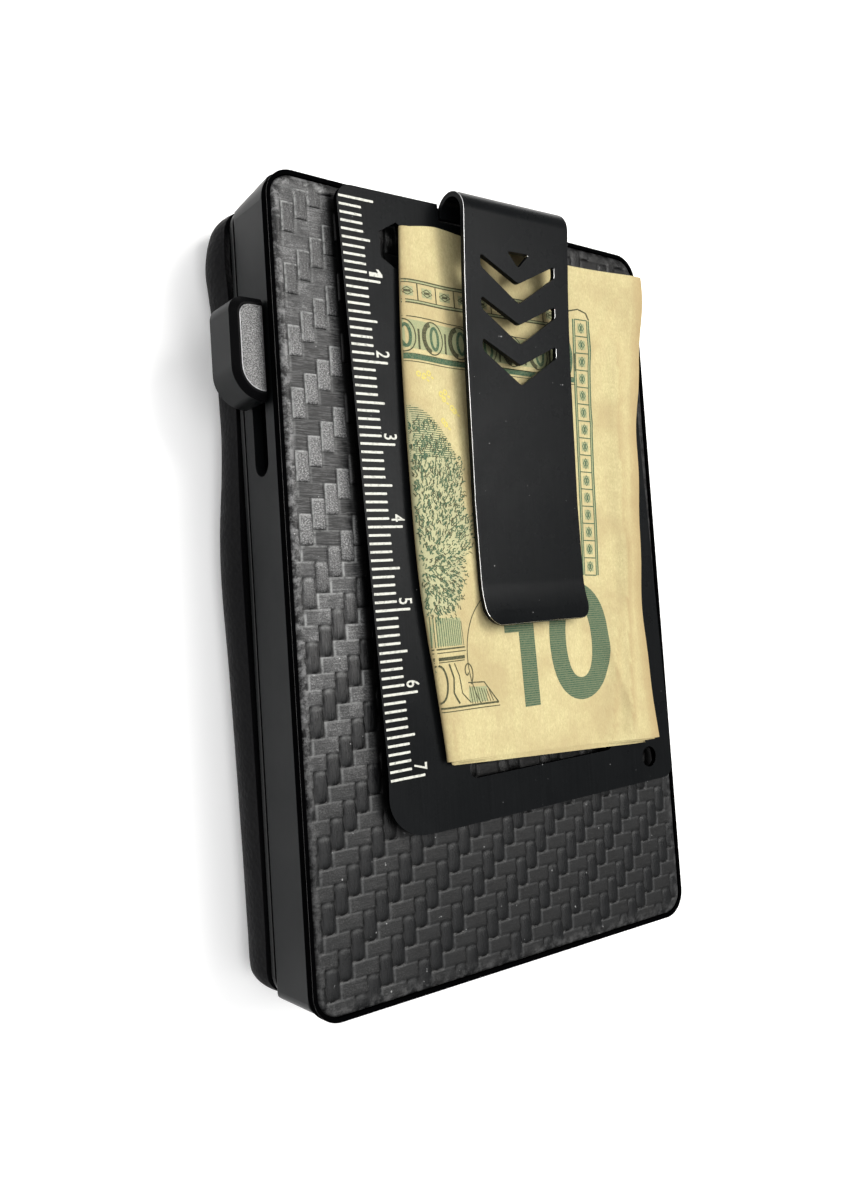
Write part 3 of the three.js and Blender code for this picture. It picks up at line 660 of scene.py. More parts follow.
def front_skin():
    half_x, half_y = (skin_high.x - skin_low.x) / 2, (skin_high.y - skin_low.y) / 2
    corner, roll = 3.0, 0.8  # radii in plan and of the edge that rolls down
    xs = weave_lines(half_x, WEAVE_START[0])
    ys = weave_lines(half_y, WEAVE_START[1])
    x, y, inside = rounded_plan(xs, ys, half_x, half_y, corner)
    height, upright = weave(x + WEAVE_START[0], y + WEAVE_START[1])
    fade = smoothstep(0.2, 1.1, inside)  # no embossing at the very rim
    # Under the tool plate the weave loses its painted sheen and edge highlights and goes near black as
    # painted shade.
    bare = 1 - 0.92 * under_plate(x, y)
    wrap = 0.5 * (1 - np.sqrt(np.clip(1 - (1 - np.clip(inside / roll, 0, 1)) ** 2, 0, 1)))
    z = SKIN_TOP - RELIEF * (1 - height) * fade - wrap
    top = np.stack([x, y, z], axis=-1).reshape(-1, 3)
    base = top * (1, 1, 0) + (0, 0, skin_low.z)
    rim, count = grid_rim(*x.shape), x.size
    sides = [(a, b, b + count, a + count)[::-1] for a, b in zip(rim, np.roll(rim, -1))]
    mesh = new_mesh("front_skin_woven", np.concatenate([top, base]), grid_faces(*x.shape) + sides)
    layers = {
        "warp": upright.astype(float),
        # painted shade: low in the weave's hollows and under the tool plate, where the colour goes near
        # black
        "lit_crest": (height * fade + 1 - fade) * bare,
        # scuff marks along the rim, which also stand in as a painted highlight, fewer towards the bottom
        "rim": (1 - smoothstep(0.5, 1.7, inside)) * (0.25 + 0.75 * smoothstep(-35, 0, y)),
        # painted sheen: towards the left and the top, none under the tool plate
        "left_sheen": (1 - smoothstep(-26, -12, x)) * (0.1 + 0.9 * smoothstep(-34, 6, y)) * bare,
        # painted sheen above, where the pads turn bright and the tiles dark
        "upper_sheen": smoothstep(*UPPER_SHEEN_Y, y) * (1 - 0.6 * smoothstep(26, 36, y)) * bare,
        # painted highlight on the left and upper edges of the weave
        "edge": weave_edges(x + WEAVE_START[0], y + WEAVE_START[1]) * fade * bare,
    }

    def close(work):
        """Writes the layers, drops the unused points of the base and closes it with one face."""
        for name, values in layers.items():
            layer = work.verts.layers.float.new(name)
            work.verts.ensure_lookup_table()
            for vertex, value in zip(work.verts, np.tile(values.ravel(), 2)):
                vertex[layer] = float(value)
        bmesh.ops.delete(work, geom=[v for v in work.verts if not v.link_faces], context="VERTS")
        bmesh.ops.contextual_create(work, geom=[e for e in work.edges if e.is_boundary])
        bmesh.ops.recalc_face_normals(work, faces=work.faces)

    edited(mesh, close)
    piece = add_piece("front_skin_woven", mesh, carbon, "case", sharp=60)
    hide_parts("front_skin")


front_skin()


# ---------------- case, cover, plates
END_LEAN = 0.9  # how far the closed end's upper side reaches under the cover's rim
CLOSED_CORNER, OPEN_CORNER = 2.4, 1.3  # radius of the walls' corners, seen from above


def soften_ends(work):
    """Draws the closed end's upper side out and rounds the corners seen from above."""
    heights = [v.co.z for v in work.verts]
    low_z, high_z = min(heights), max(heights)
    reach_x = max(abs(v.co.x - centre.x * MM) for v in work.verts)
    for towards, radius in ((1, CLOSED_CORNER * MM), (-1, OPEN_CORNER * MM)):
        end_y = max(v.co.y * towards for v in work.verts)
        for share in np.sin(np.radians(np.arange(0, 90, 15))):
            cut(work, (0, towards * (end_y - radius * (1 - share)), 0), (0, 1, 0))
        for vertex in work.verts:
            past = vertex.co.y * towards - (end_y - radius)
            if past > 0:
                reach = reach_x - radius + math.sqrt(max(0.0, radius ** 2 - past ** 2))
                off = vertex.co.x - centre.x * MM
                vertex.co.x = centre.x * MM + max(-reach, min(reach, off))
                if towards > 0:
                    lean = min(past / radius * 1.5, 1) * (vertex.co.z - low_z) / (high_z - low_z)
                    vertex.co.y += END_LEAN * MM * lean


GRAIN_STEP = 0.17
GRAIN_HEIGHT = 0.05
GRAIN_INSET = 0.3  # the outermost cuts lie this far from the grip's edge


def add_grains(work):
    """Cuts the grip's faces into small fields and raises their corners by chance."""
    rng = random.Random(5)
    places = np.array([tuple(v.co) for v in work.verts])
    low, high = places.min(0), places.max(0)
    for axis, normal in ((0, (1, 0, 0)), (1, (0, 1, 0))):
        for place in np.arange(low[axis] + GRAIN_INSET * MM, high[axis] - GRAIN_INSET * MM, GRAIN_STEP * MM):
            cut(work, [place if i == axis else 0 for i in range(3)], normal)
    for vertex in work.verts:
        if all(abs(face.normal.z) > 0.99 for face in vertex.link_faces):
            outward = vertex.link_faces[0].normal.z
            vertex.co.z += rng.uniform(GRAIN_HEIGHT, 0) * outward * MM


def case_pieces():
    aluminium = [anodised, soft_edge]
    finished_copy("case_shell", "case_body", aluminium, 0.16, "case", soften_ends,
                  flat_above=20)
    finished_copy("rear_plate", "rear_plate_finished", aluminium, 0.14, "case")
    finished_copy("end_cap", "end_cap_finished", [black_plastic], 0.15, "case", soften_ends)


def front_tray():
    """The front cover's tray, worn only on the outer upper edge of its rim."""
    tray = finished_copy("front_cover", "front_cover_tray", [matt_black_and_shade, rim_edge], 0.11, "case")
    middle = centre.xy * MM
    repaint(tray, 0, lambda face: face.normal.z < 0.2 or (face.center.xy - middle).dot(face.normal.xy) <= 0)


def tool_plate():
    """The plate, whose side walls take the matt black plastic as painted shade."""
    plate = finished_copy("tool_plate", "tool_plate_finished", [black_steel, soft_edge], 0.10, "case")
    plate.data.materials.append(matt_black_and_shade)
    # Painted shade: all the plate's side walls go matt black.
    repaint(plate, 2, lambda face: abs(face.normal.z) < 0.3)


def thumb_button():
    """The slider's button, black on top, with its speckled grips."""
    button = finished_copy("slider_button", "slider_button_finished", [anodised, black_plastic], 0.18,
                           "slider")
    repaint(button, 1, lambda face: face.normal.z > 0.5)
    for side in ("front", "rear"):
        node = f"slider_grip_{side}"
        finished_copy(node, f"{node}_finished", [grip, grip_rim], 0.10, "slider",
                      roughen=add_grains)


def plain_nodes():
    """Hidden pieces stay as CAD made them, and take only a material."""
    chosen = {
        black_plastic: ["guide_rail_left", "guide_rail_right", "ejector_carriage",
                        "plate_spacer_upper", "plate_spacer_lower"],
        felt: ["friction_felt_front", "friction_felt_rear", "pocket_lining"],
        screw_steel: [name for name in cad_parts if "screw" in name],
    }
    for material, names in chosen.items():
        for name in names:
            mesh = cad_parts[name].data
            mesh.materials.clear()
            mesh.materials.append(material)


case_pieces()
front_tray()
tool_plate()
thumb_button()
plain_nodes()


# ---------------- ruler marking
RULER_LEFT = -21.65
RULER_ZERO_Y = 47.5
RULER_LENGTH = 70
MARK_WIDTH = 0.30
MARK_LOW = PLATE_TOP + 0.004  # the paint's underside, a hair off the plate
MARK_HEIGHT = 0.02
MARK_REACH = {10: 5.0, 5: 4.0, 1: 3.1}  # length of every tenth, fifth and other mark
FIGURE_LEFT = -18.15
FIGURE_TALL, FIGURE_WIDE = 1.95, 0.95
FIGURE_SHIFT = 0.6  # from a figure's mark to the figure's end
FONT_WIDE = 0.5  # most figures of the typeface are about this wide at size 1


class Solids:
    """Points and faces of many small solids that end up in one mesh."""

    def __init__(self):
        self.points = []
        self.faces = []

    def add(self, points, faces):
        start = len(self.points)
        self.points.extend(points)
        self.faces.extend([tuple(i + start for i in face) for face in faces])

    def prism(self, outline, low, high):
        """Upright prism of an anticlockwise outline."""
        count = len(outline)
        bottom = [(x, y, low) for x, y in outline]
        top = [(x, y, high) for x, y in outline]
        sides = [(i, (i + 1) % count, (i + 1) % count + count, i + count) for i in range(count)]
        self.add(bottom + top, sides + [tuple(range(count))[::-1], tuple(range(count, 2 * count))])

    def mesh(self, name, place=TURNED):
        return new_mesh(name, self.points, self.faces, place)


def ruler_marks():
    marks = Solids()
    half = MARK_WIDTH / 2
    for tick in range(RULER_LENGTH + 1):
        step = next(s for s in MARK_REACH if tick % s == 0)
        right = RULER_LEFT + MARK_REACH[step]
        y = RULER_ZERO_Y - tick
        end = [(right + half * math.cos(a) * 0.6, y + half * math.sin(a))
               for a in np.linspace(-math.pi / 2, math.pi / 2, 5)]
        outline = [(RULER_LEFT, y - half), *end, (RULER_LEFT, y + half)]
        marks.prism(outline, MARK_LOW, MARK_LOW + MARK_HEIGHT)
    add_piece("ruler_marks", marks.mesh("ruler_marks"), white_marking, "case")


def figure_one():
    """An upright bar with a short flag, 0.5 wide and 1 tall."""
    one = Solids()
    one.prism([(0.22, 0), (0.5, 0), (0.5, 1), (0.3, 1), (0, 0.74), (0, 0.55), (0.22, 0.7)], -0.5, 0.5)
    return one.mesh("figure_one", Matrix.Identity(4))


def figure_from_font(figure):
    """A figure of the built-in typeface, drawn a little bolder."""
    text = bpy.data.curves.new(f"figure_{figure}", "FONT")
    text.body = figure
    text.extrude = 0.5
    text.offset = 0.010
    carrier = placed(f"figure_{figure}", text)
    bpy.context.view_layer.update()
    shaped = carrier.evaluated_get(bpy.context.evaluated_depsgraph_get())
    mesh = bpy.data.meshes.new_from_object(shaped)
    bpy.data.objects.remove(carrier)
    return mesh


def ruler_figures():
    """The centimetre figures, read with the wallet's slider side down."""
    work = bmesh.new()
    for figure in range(1, RULER_LENGTH // 10 + 1):
        mesh = figure_one() if figure == 1 else figure_from_font(str(figure))
        corners = np.array([v.co for v in mesh.vertices])
        low, high = corners.min(0), corners.max(0)
        wide = min(FIGURE_WIDE * (high[0] - low[0]) / FONT_WIDE, FIGURE_WIDE)
        start_y = RULER_ZERO_Y - 10 * figure + FIGURE_SHIFT + wide
        scale_x, scale_y = wide / (high[0] - low[0]), FIGURE_TALL / (high[1] - low[1])
        for vertex in mesh.vertices:
            x, y, z = vertex.co
            vertex.co = (FIGURE_LEFT + (y - low[1]) * scale_y, start_y - (x - low[0]) * scale_x,
                         MARK_LOW + MARK_HEIGHT * (z > 0))
        work.from_mesh(mesh)
        bpy.data.meshes.remove(mesh)
    bmesh.ops.remove_doubles(work, verts=work.verts, dist=1e-4)
    bmesh.ops.recalc_face_normals(work, faces=work.faces)
    mesh = bpy.data.meshes.new("ruler_figures")
    work.to_mesh(mesh)
    work.free()
    mesh.transform(TURNED)
    add_piece("ruler_figures", mesh, white_marking, "case")


ruler_marks()
ruler_figures()


# ---------------- money clip
ROOT_LENGTH = 0.5  # from the clip's CAD root to the plate's tongue, in one sheet in the photo
CLIP_MIDDLE_X = 3.05
WINDOW_HALF_WIDTH = 7.0
WINDOW_LOW_Y, WINDOW_HIGH_Y = 20, 44
WINDOW_CORNER = 0.42  # how far the windows' corners are rounded
TIP_END_Y = 2.5


def join_root(work):
    """Draws the clip's root out to the plate's tongue."""
    back = Vector((0, -1, 0))
    back.rotate(Matrix.Rotation(PLATE_SKEW, 3, "Z"))
    root = [f for f in work.faces
            if f.normal.dot(back) > 0.999 and f.calc_center_median().z < (PLATE_TOP + 0.3) * MM]
    for face in root:
        for vertex in face.verts:
            vertex.co += back * ROOT_LENGTH * MM


def round_windows(work):
    """Rounds the upright edges at the corners of the clip's windows."""
    home = TURNED.inverted()
    corners = []
    for edge in work.edges:
        low, high = sorted((home @ v.co for v in edge.verts), key=lambda point: point.z)
        along = high - low
        inside = abs(low.x - CLIP_MIDDLE_X) < WINDOW_HALF_WIDTH and WINDOW_LOW_Y < low.y < WINDOW_HIGH_Y
        if inside and along.z > 0.9 * along.length and low.z > PLATE_TOP + 1.2:
            corners.append(edge)
    bmesh.ops.bevel(work, geom=corners, offset=WINDOW_CORNER * MM, segments=4, profile=0.5, affect="EDGES")


def reshape_clip(work):
    join_root(work)
    round_windows(work)


def money_clip():
    """The clip, with bare metal only on the rounded edges that face the slider's side or its tip."""
    piece = finished_copy("money_clip", "money_clip_finished", [black_steel, bright_edge], 0.12, None,
                          reshape_clip)
    turn, home = TURNED.to_3x3().normalized().inverted(), TURNED.inverted()

    def coated(face):
        normal, middle = turn @ face.normal, home @ face.center
        left = normal.x < -0.35 and abs(normal.y) < 0.45 and normal.z > -0.1
        tip = normal.y < -0.3 and middle.y < TIP_END_Y
        root = middle.y > WINDOW_HIGH_Y and middle.z < PLATE_TOP + 3
        return root or not (left or tip)

    repaint(piece, 0, coated)
    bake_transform(piece)


money_clip()


# ---------------- folded banknote
NOTE_LEFT = [(46, -13.3), (44, -13.5), (30, -14.7), (15, -15.3), (0, -15.3), (-10, -14.5), (-22, -13.5)]
NOTE_RIGHT = [(44, 28.0), (38, 27.3), (30, 26.3), (13, 24.2), (0, 23.2), (-12, 23.1), (-24, 23.4)]
NOTE_TOP = [(-15, 44.6), (-13, 45.0), (-10, 45.5), (-4, 45.0), (12, 44.0), (28, 42.7)]
NOTE_BOTTOM = [(-15, -21.4), (0, -22.2), (24, -23.4)]
PAPER = 0.09
LAYER_BASE = (0.50, 0.38, 0.27, 0.15)  # each leaf's height over the plate, from the top leaf
LAYER_BULGE = (0.95, 0.70, 0.12, 0.0)  # its extra height beside the outer fold
LAYER_LIFT = (2.5, 2.1, 0.9, 0.7)  # its extra height at the right edge
FOLD_DEPTH = 1.2
NOTE_ROWS, TOP_COLUMNS = 96, 90  # the sheet's grid rows, and the top leaf's grid columns
# Each crease runs from one point to another and has a height and a reach to its sides.
CREASES = [((18.6, -22), (21.0, 6), 0.44, 1.5), ((15.2, -23), (18.7, -4), 0.26, 1.3),
           ((20.2, 6), (22.6, 34), 0.30, 1.6), ((-12.6, -22), (-13.0, -8), 0.18, 1.0),
           ((16.6, 30), (24.0, 41), 0.16, 1.3), ((15.6, -8), (19.4, -20), 0.24, 1.1),
           ((14.8, 20), (25.5, 27), 0.10, 1.2), ((13.2, -23), (15.4, -17), 0.14, 1.0)]
CREASE_SHADE = 1.9  # strength of the painted shade on the right of a crease, for each mm of its height
EDGE_STRIP = 1.6  # the right edge is bent down along a crease this far from it


def beside_crease(x, y, start, end):
    """Distance to the right of a crease, and 1 along it, falling to 0 past its ends."""
    (x0, y0), (x1, y1) = start, end
    length = math.hypot(x1 - x0, y1 - y0)
    along = ((x - x0) * (x1 - x0) + (y - y0) * (y1 - y0)) / length
    off = ((x - x0) * (y1 - y0) - (y - y0) * (x1 - x0)) / length
    return off, smoothstep(-1, 2, along) * (1 - smoothstep(length - 2, length + 1, along))


def crease_dirt(x, y):
    """Painted shade on the right of each crease, which fades away from it."""
    painted_crease_shade = 0
    for start, end, size, reach in CREASES:
        off, part = beside_crease(x, y, start, end)
        painted_crease_shade = painted_crease_shade + CREASE_SHADE * size * np.where(off > 0, np.clip(1 - off / reach, 0, 1), 0) * part
    return painted_crease_shade


def leaf_height(layer, x, y):
    """Height of the middle of a leaf above the plate, at a place in the plate's frame."""
    from_fold = x - smooth_curve(NOTE_LEFT, y)
    bulge = LAYER_BULGE[layer] * (1 - smoothstep(1.6, 8.2, from_fold))
    bulge = bulge * (0.85 + 0.25 * np.sin(y * 0.09 + 1.0))
    lift = LAYER_LIFT[layer] * (np.clip(x - 12.6, 0, 20) / 13.5) ** 1.5
    lift = lift * (1 + 0.10 * np.sin(y * 0.21) + 0.06 * np.sin(y * 0.47 + x * 0.3))
    ripple = 0.05 * np.sin(x * 0.55 + y * 0.13) * smoothstep(13, 18, x)
    height = LAYER_BASE[layer] + bulge + lift + ripple
    height = height - 0.2 * np.clip(1 - (smooth_curve(NOTE_RIGHT, y) - x) / EDGE_STRIP, 0, 1)
    for start, end, size, reach in CREASES:
        off, part = beside_crease(x, y, start, end)
        height = height + size * np.clip(1 - (np.hypot(off, 0.15) - 0.15) / reach, 0, 1) * part
    return height


def folded_points():
    """Rows and columns of a sheet folded in four, column by column from the top leaf's right
    edge: its outer fold is on the left and its middle fold inside on the right."""
    t = np.linspace(0, 1, NOTE_ROWS)
    columns = []

    def leaf(layer, start, end, count, shorter=0.0):
        """Columns of one leaf, from one share of its width to another."""
        for share in np.linspace(start, end, count):
            nominal = -14 + 39 * share
            y0 = smooth_curve(NOTE_BOTTOM, nominal) - 0.2 * layer
            y1 = smooth_curve(NOTE_TOP, nominal) - 0.10 * layer
            y = y0 + (y1 - y0) * t
            left = smooth_curve(NOTE_LEFT, y) + FOLD_DEPTH
            right = smooth_curve(NOTE_RIGHT, y) - shorter
            x = left + (right - left) * share
            columns.append(np.stack([x, y, PLATE_TOP + leaf_height(layer, x, y)], axis=-1))

    def fold(first, second, depth, steps, towards):
        """Half-round turn from one leaf to the next, beyond the columns already made."""
        last = columns[-1]
        other = leaf_height(second, last[:, 0], last[:, 1]) + PLATE_TOP
        middle = (last[:, 2] + other) / 2
        radius = (last[:, 2] - other) / 2
        for angle in np.linspace(0, math.pi, steps + 2)[1:-1]:
            x = last[:, 0] + towards * depth * math.sin(angle)
            columns.append(np.stack([x, last[:, 1], middle + radius * math.cos(angle)], axis=-1))

    leaf(0, 1, 0, TOP_COLUMNS)
    fold(0, 3, FOLD_DEPTH, 8, -1)
    leaf(3, 0, 1, 20, shorter=1.6)
    fold(3, 2, 0.15, 3, 1)
    leaf(2, 1, 0.012, 20, shorter=1.6)
    fold(2, 1, 0.75 * FOLD_DEPTH, 5, -1)
    leaf(1, 0.012, 1, 24, shorter=0.5)
    return np.stack(columns, axis=1)


def banknote_sheet():
    points = folded_points()
    rows, count = points.shape[:2]
    mesh = new_mesh("banknote_sheet", points.reshape(-1, 3), grid_faces(rows, count), TURNED)
    x, y = points[..., 0].ravel(), points[..., 1].ravel()
    top_leaf = np.zeros((rows, count))
    top_leaf[:, :TOP_COLUMNS + 4] = 1  # and the upper half of the outer fold
    to_right = np.abs(smooth_curve(NOTE_RIGHT, y) - x)
    to_left = np.abs(x - smooth_curve(NOTE_LEFT, y))
    worn = 0.6 * np.exp(-to_left / 0.7) + np.exp(-to_right / 1.2) + 0.3 * (to_right < EDGE_STRIP)
    for name, values in (
        # wear at the edges, and painted shade beside the creases
        ("handled_and_crease_shade", np.clip(worn + crease_dirt(x, y), 0, 1)),
        ("tint", foliage_mask(x, y) * top_leaf.ravel()),
    ):
        attribute = mesh.attributes.new(name, "FLOAT", "POINT")
        attribute.data.foreach_set("value", values.astype(np.float32))
    piece = placed("banknote_sheet", mesh)
    thick_sheet(piece, paper, PAPER, 0, 50)
    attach(piece, "banknote")
    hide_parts("folded_banknote")


def printed_place(x, y, height):
    """Points height mm off the top leaf's face, also where it turns into the outer fold."""
    def surface(x, y):
        start = smooth_curve(NOTE_LEFT, y) + FOLD_DEPTH
        flat_x = np.maximum(x, start)
        top = leaf_height(0, flat_x, y)
        low = leaf_height(len(LAYER_BASE) - 1, flat_x, y)
        turn = np.clip((start - x) / FOLD_DEPTH, 0, 0.96)
        return PLATE_TOP + (top + low) / 2 + (top - low) / 2 * np.sqrt(1 - turn ** 2)

    x = np.maximum(x, smooth_curve(NOTE_LEFT, y) + 0.04 * FOLD_DEPTH)
    step = 0.02
    slope_x = (surface(x + step, y) - surface(x - step, y)) / (2 * step)
    slope_y = (surface(x, y + step) - surface(x, y - step)) / (2 * step)
    length = np.sqrt(1 + slope_x ** 2 + slope_y ** 2)
    off = height + PAPER / 2
    return np.stack([x - slope_x / length * off, y - slope_y / length * off,
                     surface(x, y) + off / length], axis=-1)


FOLIAGE_MIDDLE = (-15.4, 8.6)
FOLIAGE_REACH = (9.2, 13.6)
FOLIAGE_STROKES = 1450


def foliage_mask(x, y):
    """1 inside the printed clump of leaves, 0 outside, soft at its outline."""
    off_x, off_y = x - FOLIAGE_MIDDLE[0], y - FOLIAGE_MIDDLE[1]
    span = np.hypot(off_x / FOLIAGE_REACH[0], off_y / FOLIAGE_REACH[1])
    wobble = 0.05 * np.sin(7 * np.arctan2(off_y, off_x))
    return 1 - smoothstep(0.86, 1.04, span + wobble)


INK_BASE, INK_TOP = 0.002, 0.016  # heights off the paper


def subdivided(path, closed, step):
    """The path's points with others between them, no more than step apart."""
    if closed:
        path = [*path, path[0]]
    points = []
    for a, b in zip(path, path[1:]):
        pieces = max(1, math.ceil((b - a).length / step))
        points += [a.lerp(b, i / pieces) for i in range(pieces)]
    return points if closed else [*points, path[-1]]


class Print(Solids):
    """Ribbons of ink that lie on the top leaf, lift mm off it."""

    def __init__(self, lift=0.0):
        super().__init__()
        self.lift = lift

    def ribbon(self, path, width, closed=False, step=0.7):
        """A flat band of that width along a path, cut into cells of about step."""
        points = subdivided([Vector(p) for p in path], closed, step)
        across = max(1, math.ceil(width / step))
        rows = []
        for i, point in enumerate(points):
            before = points[i - 1] if i or closed else point
            after = points[(i + 1) % len(points)] if i + 1 < len(points) or closed else point
            along = (after - before).normalized()
            normal = Vector((-along.y, along.x))
            rows.append([tuple(point + normal * width * (j / across - 0.5)) for j in range(across + 1)])
        if closed:
            rows.append(rows[0])
        flat = np.array(rows)
        row_count, columns = flat.shape[:2]
        count = row_count * columns
        flat = flat.reshape(-1, 2).tolist()
        layers = [(x, y, self.lift + height) for height in (INK_TOP, INK_BASE) for x, y in flat]
        faces = [f[::-1] for f in grid_faces(row_count, columns)]
        under = [tuple(i + count for i in f[::-1]) for f in faces]
        left = [row * columns for row in range(row_count)]
        right = [row * columns + columns - 1 for row in range(row_count)]
        first, last = list(range(columns)), list(range(left[-1], left[-1] + columns))
        rims = [left, right] if closed else [left, right, first, last]
        sides = [(a, b, b + count, a + count) for rim in rims for a, b in zip(rim, rim[1:])]
        self.add(layers, faces + under + sides)

    def piece(self, name, material):
        """Ends the print: so far the third number of a point was its height off the paper."""
        self.points = printed_place(*np.array(self.points).T).tolist()
        mesh = edited(self.mesh(name), mend)
        add_piece(name, mesh, material, "banknote")


def mend(work):
    bmesh.ops.remove_doubles(work, verts=work.verts, dist=1e-7)
    bmesh.ops.recalc_face_normals(work, faces=work.faces)


def oval(middle, reach, start=0.0, end=360.0, count=40):
    """Points on an oval, or on the part of it between two angles in degrees."""
    angles = np.radians(np.linspace(start, end, count))
    return [(middle[0] + reach[0] * math.cos(a), middle[1] + reach[1] * math.sin(a)) for a in angles]


def ladder(dark, pale, start, end, width, rungs):
    """Two pairs of lines on a pale ground, with rungs and a small sign between each two."""
    start, end = Vector(start), Vector(end)
    along = (end - start).normalized()
    side = Vector((-along.y, along.x)) * width / 2
    cell = (end - start).length / rungs
    for shift in (1, -1):
        pale.ribbon([start + side * shift * 0.88, end + side * shift * 0.88], 0.42)
        dark.ribbon([start + side * shift, end + side * shift], 0.17)
        dark.ribbon([start + side * shift * 0.76, end + side * shift * 0.76], 0.12)
    for i in range(rungs + 1):
        middle = start.lerp(end, i / rungs)
        dark.ribbon([middle - side * 0.76, middle + side * 0.76], 0.15)
    for i in range(rungs):
        heart = start.lerp(end, (i + 0.5) / rungs)
        long_half, short_half = along * cell * 0.3, side * 0.34
        diamond = [heart + long_half, heart + short_half, heart - long_half, heart - short_half]
        dark.ribbon(diamond, 0.11, closed=True)
        dark.ribbon([heart - long_half * 0.5, heart + long_half * 0.5], 0.3)
        pale.ribbon([heart - short_half * 1.2, heart + short_half * 1.2], cell * 0.55)


def numeral_ten():
    """The large figure, partly under the clip's tip."""
    green = Print()
    top, bottom = -5.2, -16.4
    fine = 0.45  # broad strokes follow the paper's creases in smaller steps
    green.ribbon([(1.5, top), (1.5, bottom)], 2.7, step=fine)
    green.ribbon([(-2.3, top - 0.7), (0.15, top - 0.7)], 1.4, step=fine)
    ring = [(11.0 + 4.3 * math.cos(a) * (1 - 0.08 * math.cos(2 * a)), -8.6 + 6.5 * math.sin(a))
            for a in np.linspace(0, 2 * math.pi, 48)[:-1]]
    green.ribbon(ring, 3.0, closed=True, step=fine)
    green.piece("banknote_numeral", numeral_ink)


def sign_band(green, dark, pale):
    """A row of plain ringed signs between two lines."""
    dark.ribbon([(-15.1, 33.4), (-9, 33.3), (0, 32.8), (14, 32.4)], 0.12)
    pale.ribbon([(-15.1, 31.2), (13, 30.4)], 3.6)
    for i in range(7):
        x, y = -14.6 + 4.6 * i, 31.0 - 0.08 * i
        dark.ribbon(oval((x, y), (1.75, 2.05)), 0.16, closed=True)
        dark.ribbon(oval((x - 0.1, y), (1.3, 1.7), 100, 260, 18), 0.5)
        green.ribbon(oval((x + 0.35, y), (0.62, 1.35)), 0.42, closed=True)
        dark.ribbon([(x + 2.2, y - 1.7), (x + 2.3, y + 0.9)], 0.3)
    green.ribbon([(-15.15, 28.4), (15, 27.6)], 0.75)
    dark.ribbon([(-15.15, 28.72), (15, 27.92)], 0.12)
    dark.ribbon([(-15.15, 27.75), (15, 26.95)], 0.1)


def foliage(green, dark, rng):
    """Short curved strokes that fan out, below a dome of fine level lines."""
    for i in range(24):
        y = 22.2 - 0.27 * i
        reach = FOLIAGE_REACH[0] * math.sqrt(max(0.0, 1 - ((y - FOLIAGE_MIDDLE[1]) / FOLIAGE_REACH[1]) ** 2))
        green.ribbon([(-15.2, y), (max(FOLIAGE_MIDDLE[0] + reach, -14.6), y - 0.05)], 0.085)
    strokes = 0
    while strokes < FOLIAGE_STROKES:
        x, y = rng.uniform(-15.9, -5.8), rng.uniform(-6, 20.5)
        if x < smooth_curve(NOTE_LEFT, y) + 0.15 or rng.random() > foliage_mask(x, y):
            continue
        strokes += 1
        turn = math.atan2(y - 2, x + 15) + rng.uniform(-0.7, 0.7)
        step = Vector((math.cos(turn), math.sin(turn))) * rng.uniform(0.25, 0.7)
        side = Vector((-step.y, step.x)) * rng.uniform(-0.4, 0.4)
        start = Vector((x, y))
        target = green if rng.random() < 0.72 else dark
        target.ribbon([start, start + step * 0.5 + side, start + step], rng.uniform(0.08, 0.15), step=0.9)


def pedestal(green, dark, pale):
    """A plain stand under the leaves, with an oval, a curl and a sloping end."""
    for i in range(16):
        x = -15.1 + 0.36 * i
        green.ribbon([(x, -3.6 - 0.06 * i), (x + 0.15, -7.5)], 0.085)
    pale.ribbon([(-15.2, -5.6), (-9.8, -5.8)], 3.4)
    lines = [
        (0.2, [(-15.2, -7.75), (-9.4, -7.75)]),
        (0.12, [(-15.2, -8.2), (-9.3, -8.2)]),
        (0.42, [(-15.2, -8.95), (-9.6, -8.95)]),
        (0.12, [(-15.2, -9.35), (-9.7, -9.35)]),
        (0.26, [(-12.6, -9.6), (-11.9, -11.4), (-12.1, -13.2), (-11.2, -14.6)]),
        (0.14, [(-11.6, -9.6), (-10.9, -11.2), (-10.6, -13.4), (-9.2, -14.7)]),
        (0.24, [(-15.1, -14.9), (-4.4, -15.15)]),
        (0.12, [(-15.1, -15.35), (-4.2, -15.6)]),
        (0.15, [(-4.4, -15.15), (-6.5, -12.4), (-9.4, -12.2)]),
    ]
    for width, path in lines:
        dark.ribbon(path, width)
    dark.ribbon(oval((-14.2, -12.0), (1.15, 2.3), 95, 445, 26), 0.24)
    green.ribbon(oval((-14.35, -11.9), (0.6, 1.6), 95, 265, 14), 0.42)
    curl = [(-9.3 + (1.15 - 0.19 * a) * math.cos(a) * 0.8, -10.9 + (1.35 - 0.22 * a) * math.sin(a))
            for a in np.linspace(-1.2, 5.6, 30)]
    dark.ribbon(curl, 0.17)
    for i in range(9):
        dark.ribbon([(-9.2 + 0.42 * i, -12.6 - 0.1 * i), (-8.9 + 0.46 * i, -14.9)], 0.1)
    pale.ribbon([(-9.4, -13.7), (-6.2, -13.9)], 1.9)
    dark.ribbon(oval((0.3, -9.4), (9.4, 9.6), 118, 216, 30), 0.13)


def specks(yellow):
    """A scatter of small rings, each with a short stroke beside it."""
    for x, y in ((-13.0, 26.2), (-12.1, 26.0), (-11.3, 26.4), (-9.4, 24.0), (-8.6, 24.3), (-8.9, 23.4),
                 (-7.6, 22.4), (-7.2, 22.0), (-9.4, 20.6), (-9.0, 20.2)):
        yellow.ribbon(oval((x, y), (0.3, 0.3), count=9), 0.22, closed=True, step=0.3)
        yellow.ribbon([(x + 0.4, y - 0.4), (x + 0.8, y - 0.6)], 0.25)


